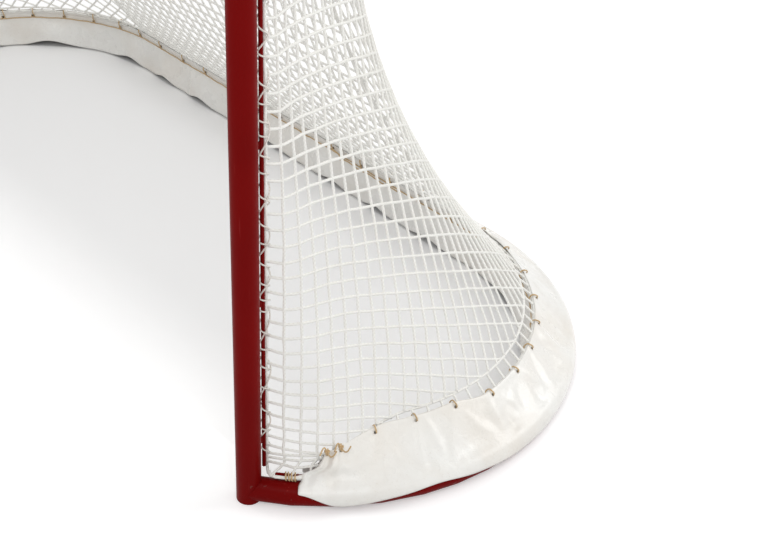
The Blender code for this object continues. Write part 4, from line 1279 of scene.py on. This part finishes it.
def seenDirectly(tree):
    path = tree.nodes.new('ShaderNodeLightPath')
    seen = mathNode(tree, 'MAXIMUM', path.outputs["Is Camera Ray"], path.outputs["Is Glossy Ray"])
    return mathNode(tree, 'MAXIMUM', seen, path.outputs["Is Transmission Ray"])


def floorMaterial(name, left):
    # left: the share of the white lift that is left well behind the goal's mouth; ice that keeps less of it looks
    # darker, a painted shade inside the goal and under the skirt
    st = stageSettings
    material, tree, shader = newMaterial(name, Base_Color=(*st["floor"], 1), Roughness=0.6)
    shader.inputs["Specular IOR Level"].default_value = 0.1
    glow = tree.nodes.new('ShaderNodeEmission')
    add = tree.nodes.new('ShaderNodeAddShader')
    length = tree.nodes.new('ShaderNodeVectorMath')
    length.operation = 'LENGTH'
    tree.links.new(objectPoint(tree), length.inputs[0])
    spread = rangeNode(tree, length.outputs["Value"], 1.6, 5.0, st["lift"], st["far"])
    lift = times(tree, seenDirectly(tree), spread)
    if left < 1.0:
        back = splitXyz(tree, objectPoint(tree))[1]
        # the glow falls off behind the mouth, so the ice there is darker: painted shade
        lift = times(tree, lift, rangeNode(tree, back, postY - 0.02, postY + 0.34, 1.0, left))
    tree.links.new(lift, glow.inputs["Strength"])
    tree.links.new(shader.outputs[0], add.inputs[0])
    tree.links.new(glow.outputs[0], add.inputs[1])
    tree.links.new(add.outputs[0], tree.nodes["Material Output"].inputs["Surface"])
    return material


def buildStage():
    st = stageSettings
    floor = addMesh("floor", [(x, y, -0.0008) for x, y in ((-14, -14), (14, -14), (14, 14), (-14, 14))],
                    [(0, 1, 2, 3)], floorMaterial("paleFloor", 1.0), False)
    runs = [baseRun * k / 120 for k in range(121)]
    outer = [overBase(run, Vector((0, -0.0004))) for run in runs]
    inner = [overBase(run, Vector((innerReach(run) + 0.003, -0.0004))) for run in runs]
    # the ice inside the goal keeps only part of the glow, a painted shade inside the goal
    addMesh("shadedIceInside", inner, [tuple(range(121))], floorMaterial("shadedIceInside", st["inner"]), False)
    # the ice under the skirt gets none of the glow behind the mouth, a painted shade under the skirt's hems
    addMesh("shadedIceUnderSkirt", inner + outer, [(k, k + 1, k + 122, k + 121) for k in range(120)],
                     floorMaterial("shadedIceUnderSkirt", 0.0), False)
    world = bpy.data.worlds.new("studio")
    bpy.context.scene.world = world
    world.use_nodes = True
    tree = world.node_tree
    tree.nodes.clear()
    back = tree.nodes.new('ShaderNodeBackground')
    back.inputs["Color"].default_value = (1, 1, 1, 1)
    strength = mathNode(tree, 'MULTIPLY_ADD', seenDirectly(tree), 1.0 - st["world"], st["world"])
    tree.links.new(strength, back.inputs["Strength"])
    out = tree.nodes.new('ShaderNodeOutputWorld')
    tree.links.new(back.outputs[0], out.inputs["Surface"])


lightSettings = [
    {"name": "keyLight", "place": (3.2, -2.6, 4.2), "aim": (0.6, 0.0, 0.4), "size": 2.6, "power": 58},
    {"name": "fillLight", "place": (-3.4, -3.2, 3.4), "aim": (0.2, 0.0, 0.5), "size": 3.2, "power": 26},
    {"name": "rimLight", "place": (2.6, 3.4, 3.4), "aim": (0.6, 0.1, 0.3), "size": 2.4, "power": 72},
]


def buildLights():
    for ls in lightSettings:
        data = bpy.data.lights.new(ls["name"], 'AREA')
        data.size, data.energy = ls["size"], ls["power"]
        light = addObject(ls["name"], data)
        light.location = ls["place"]
        light.rotation_mode = 'QUATERNION'
        light.rotation_quaternion = (Vector(ls["aim"]) - Vector(ls["place"])).to_track_quat('-Z', 'Y')


buildStage()
buildLights()
bpy.context.scene.view_settings.view_transform = 'Standard'
print("goal: studio lit")
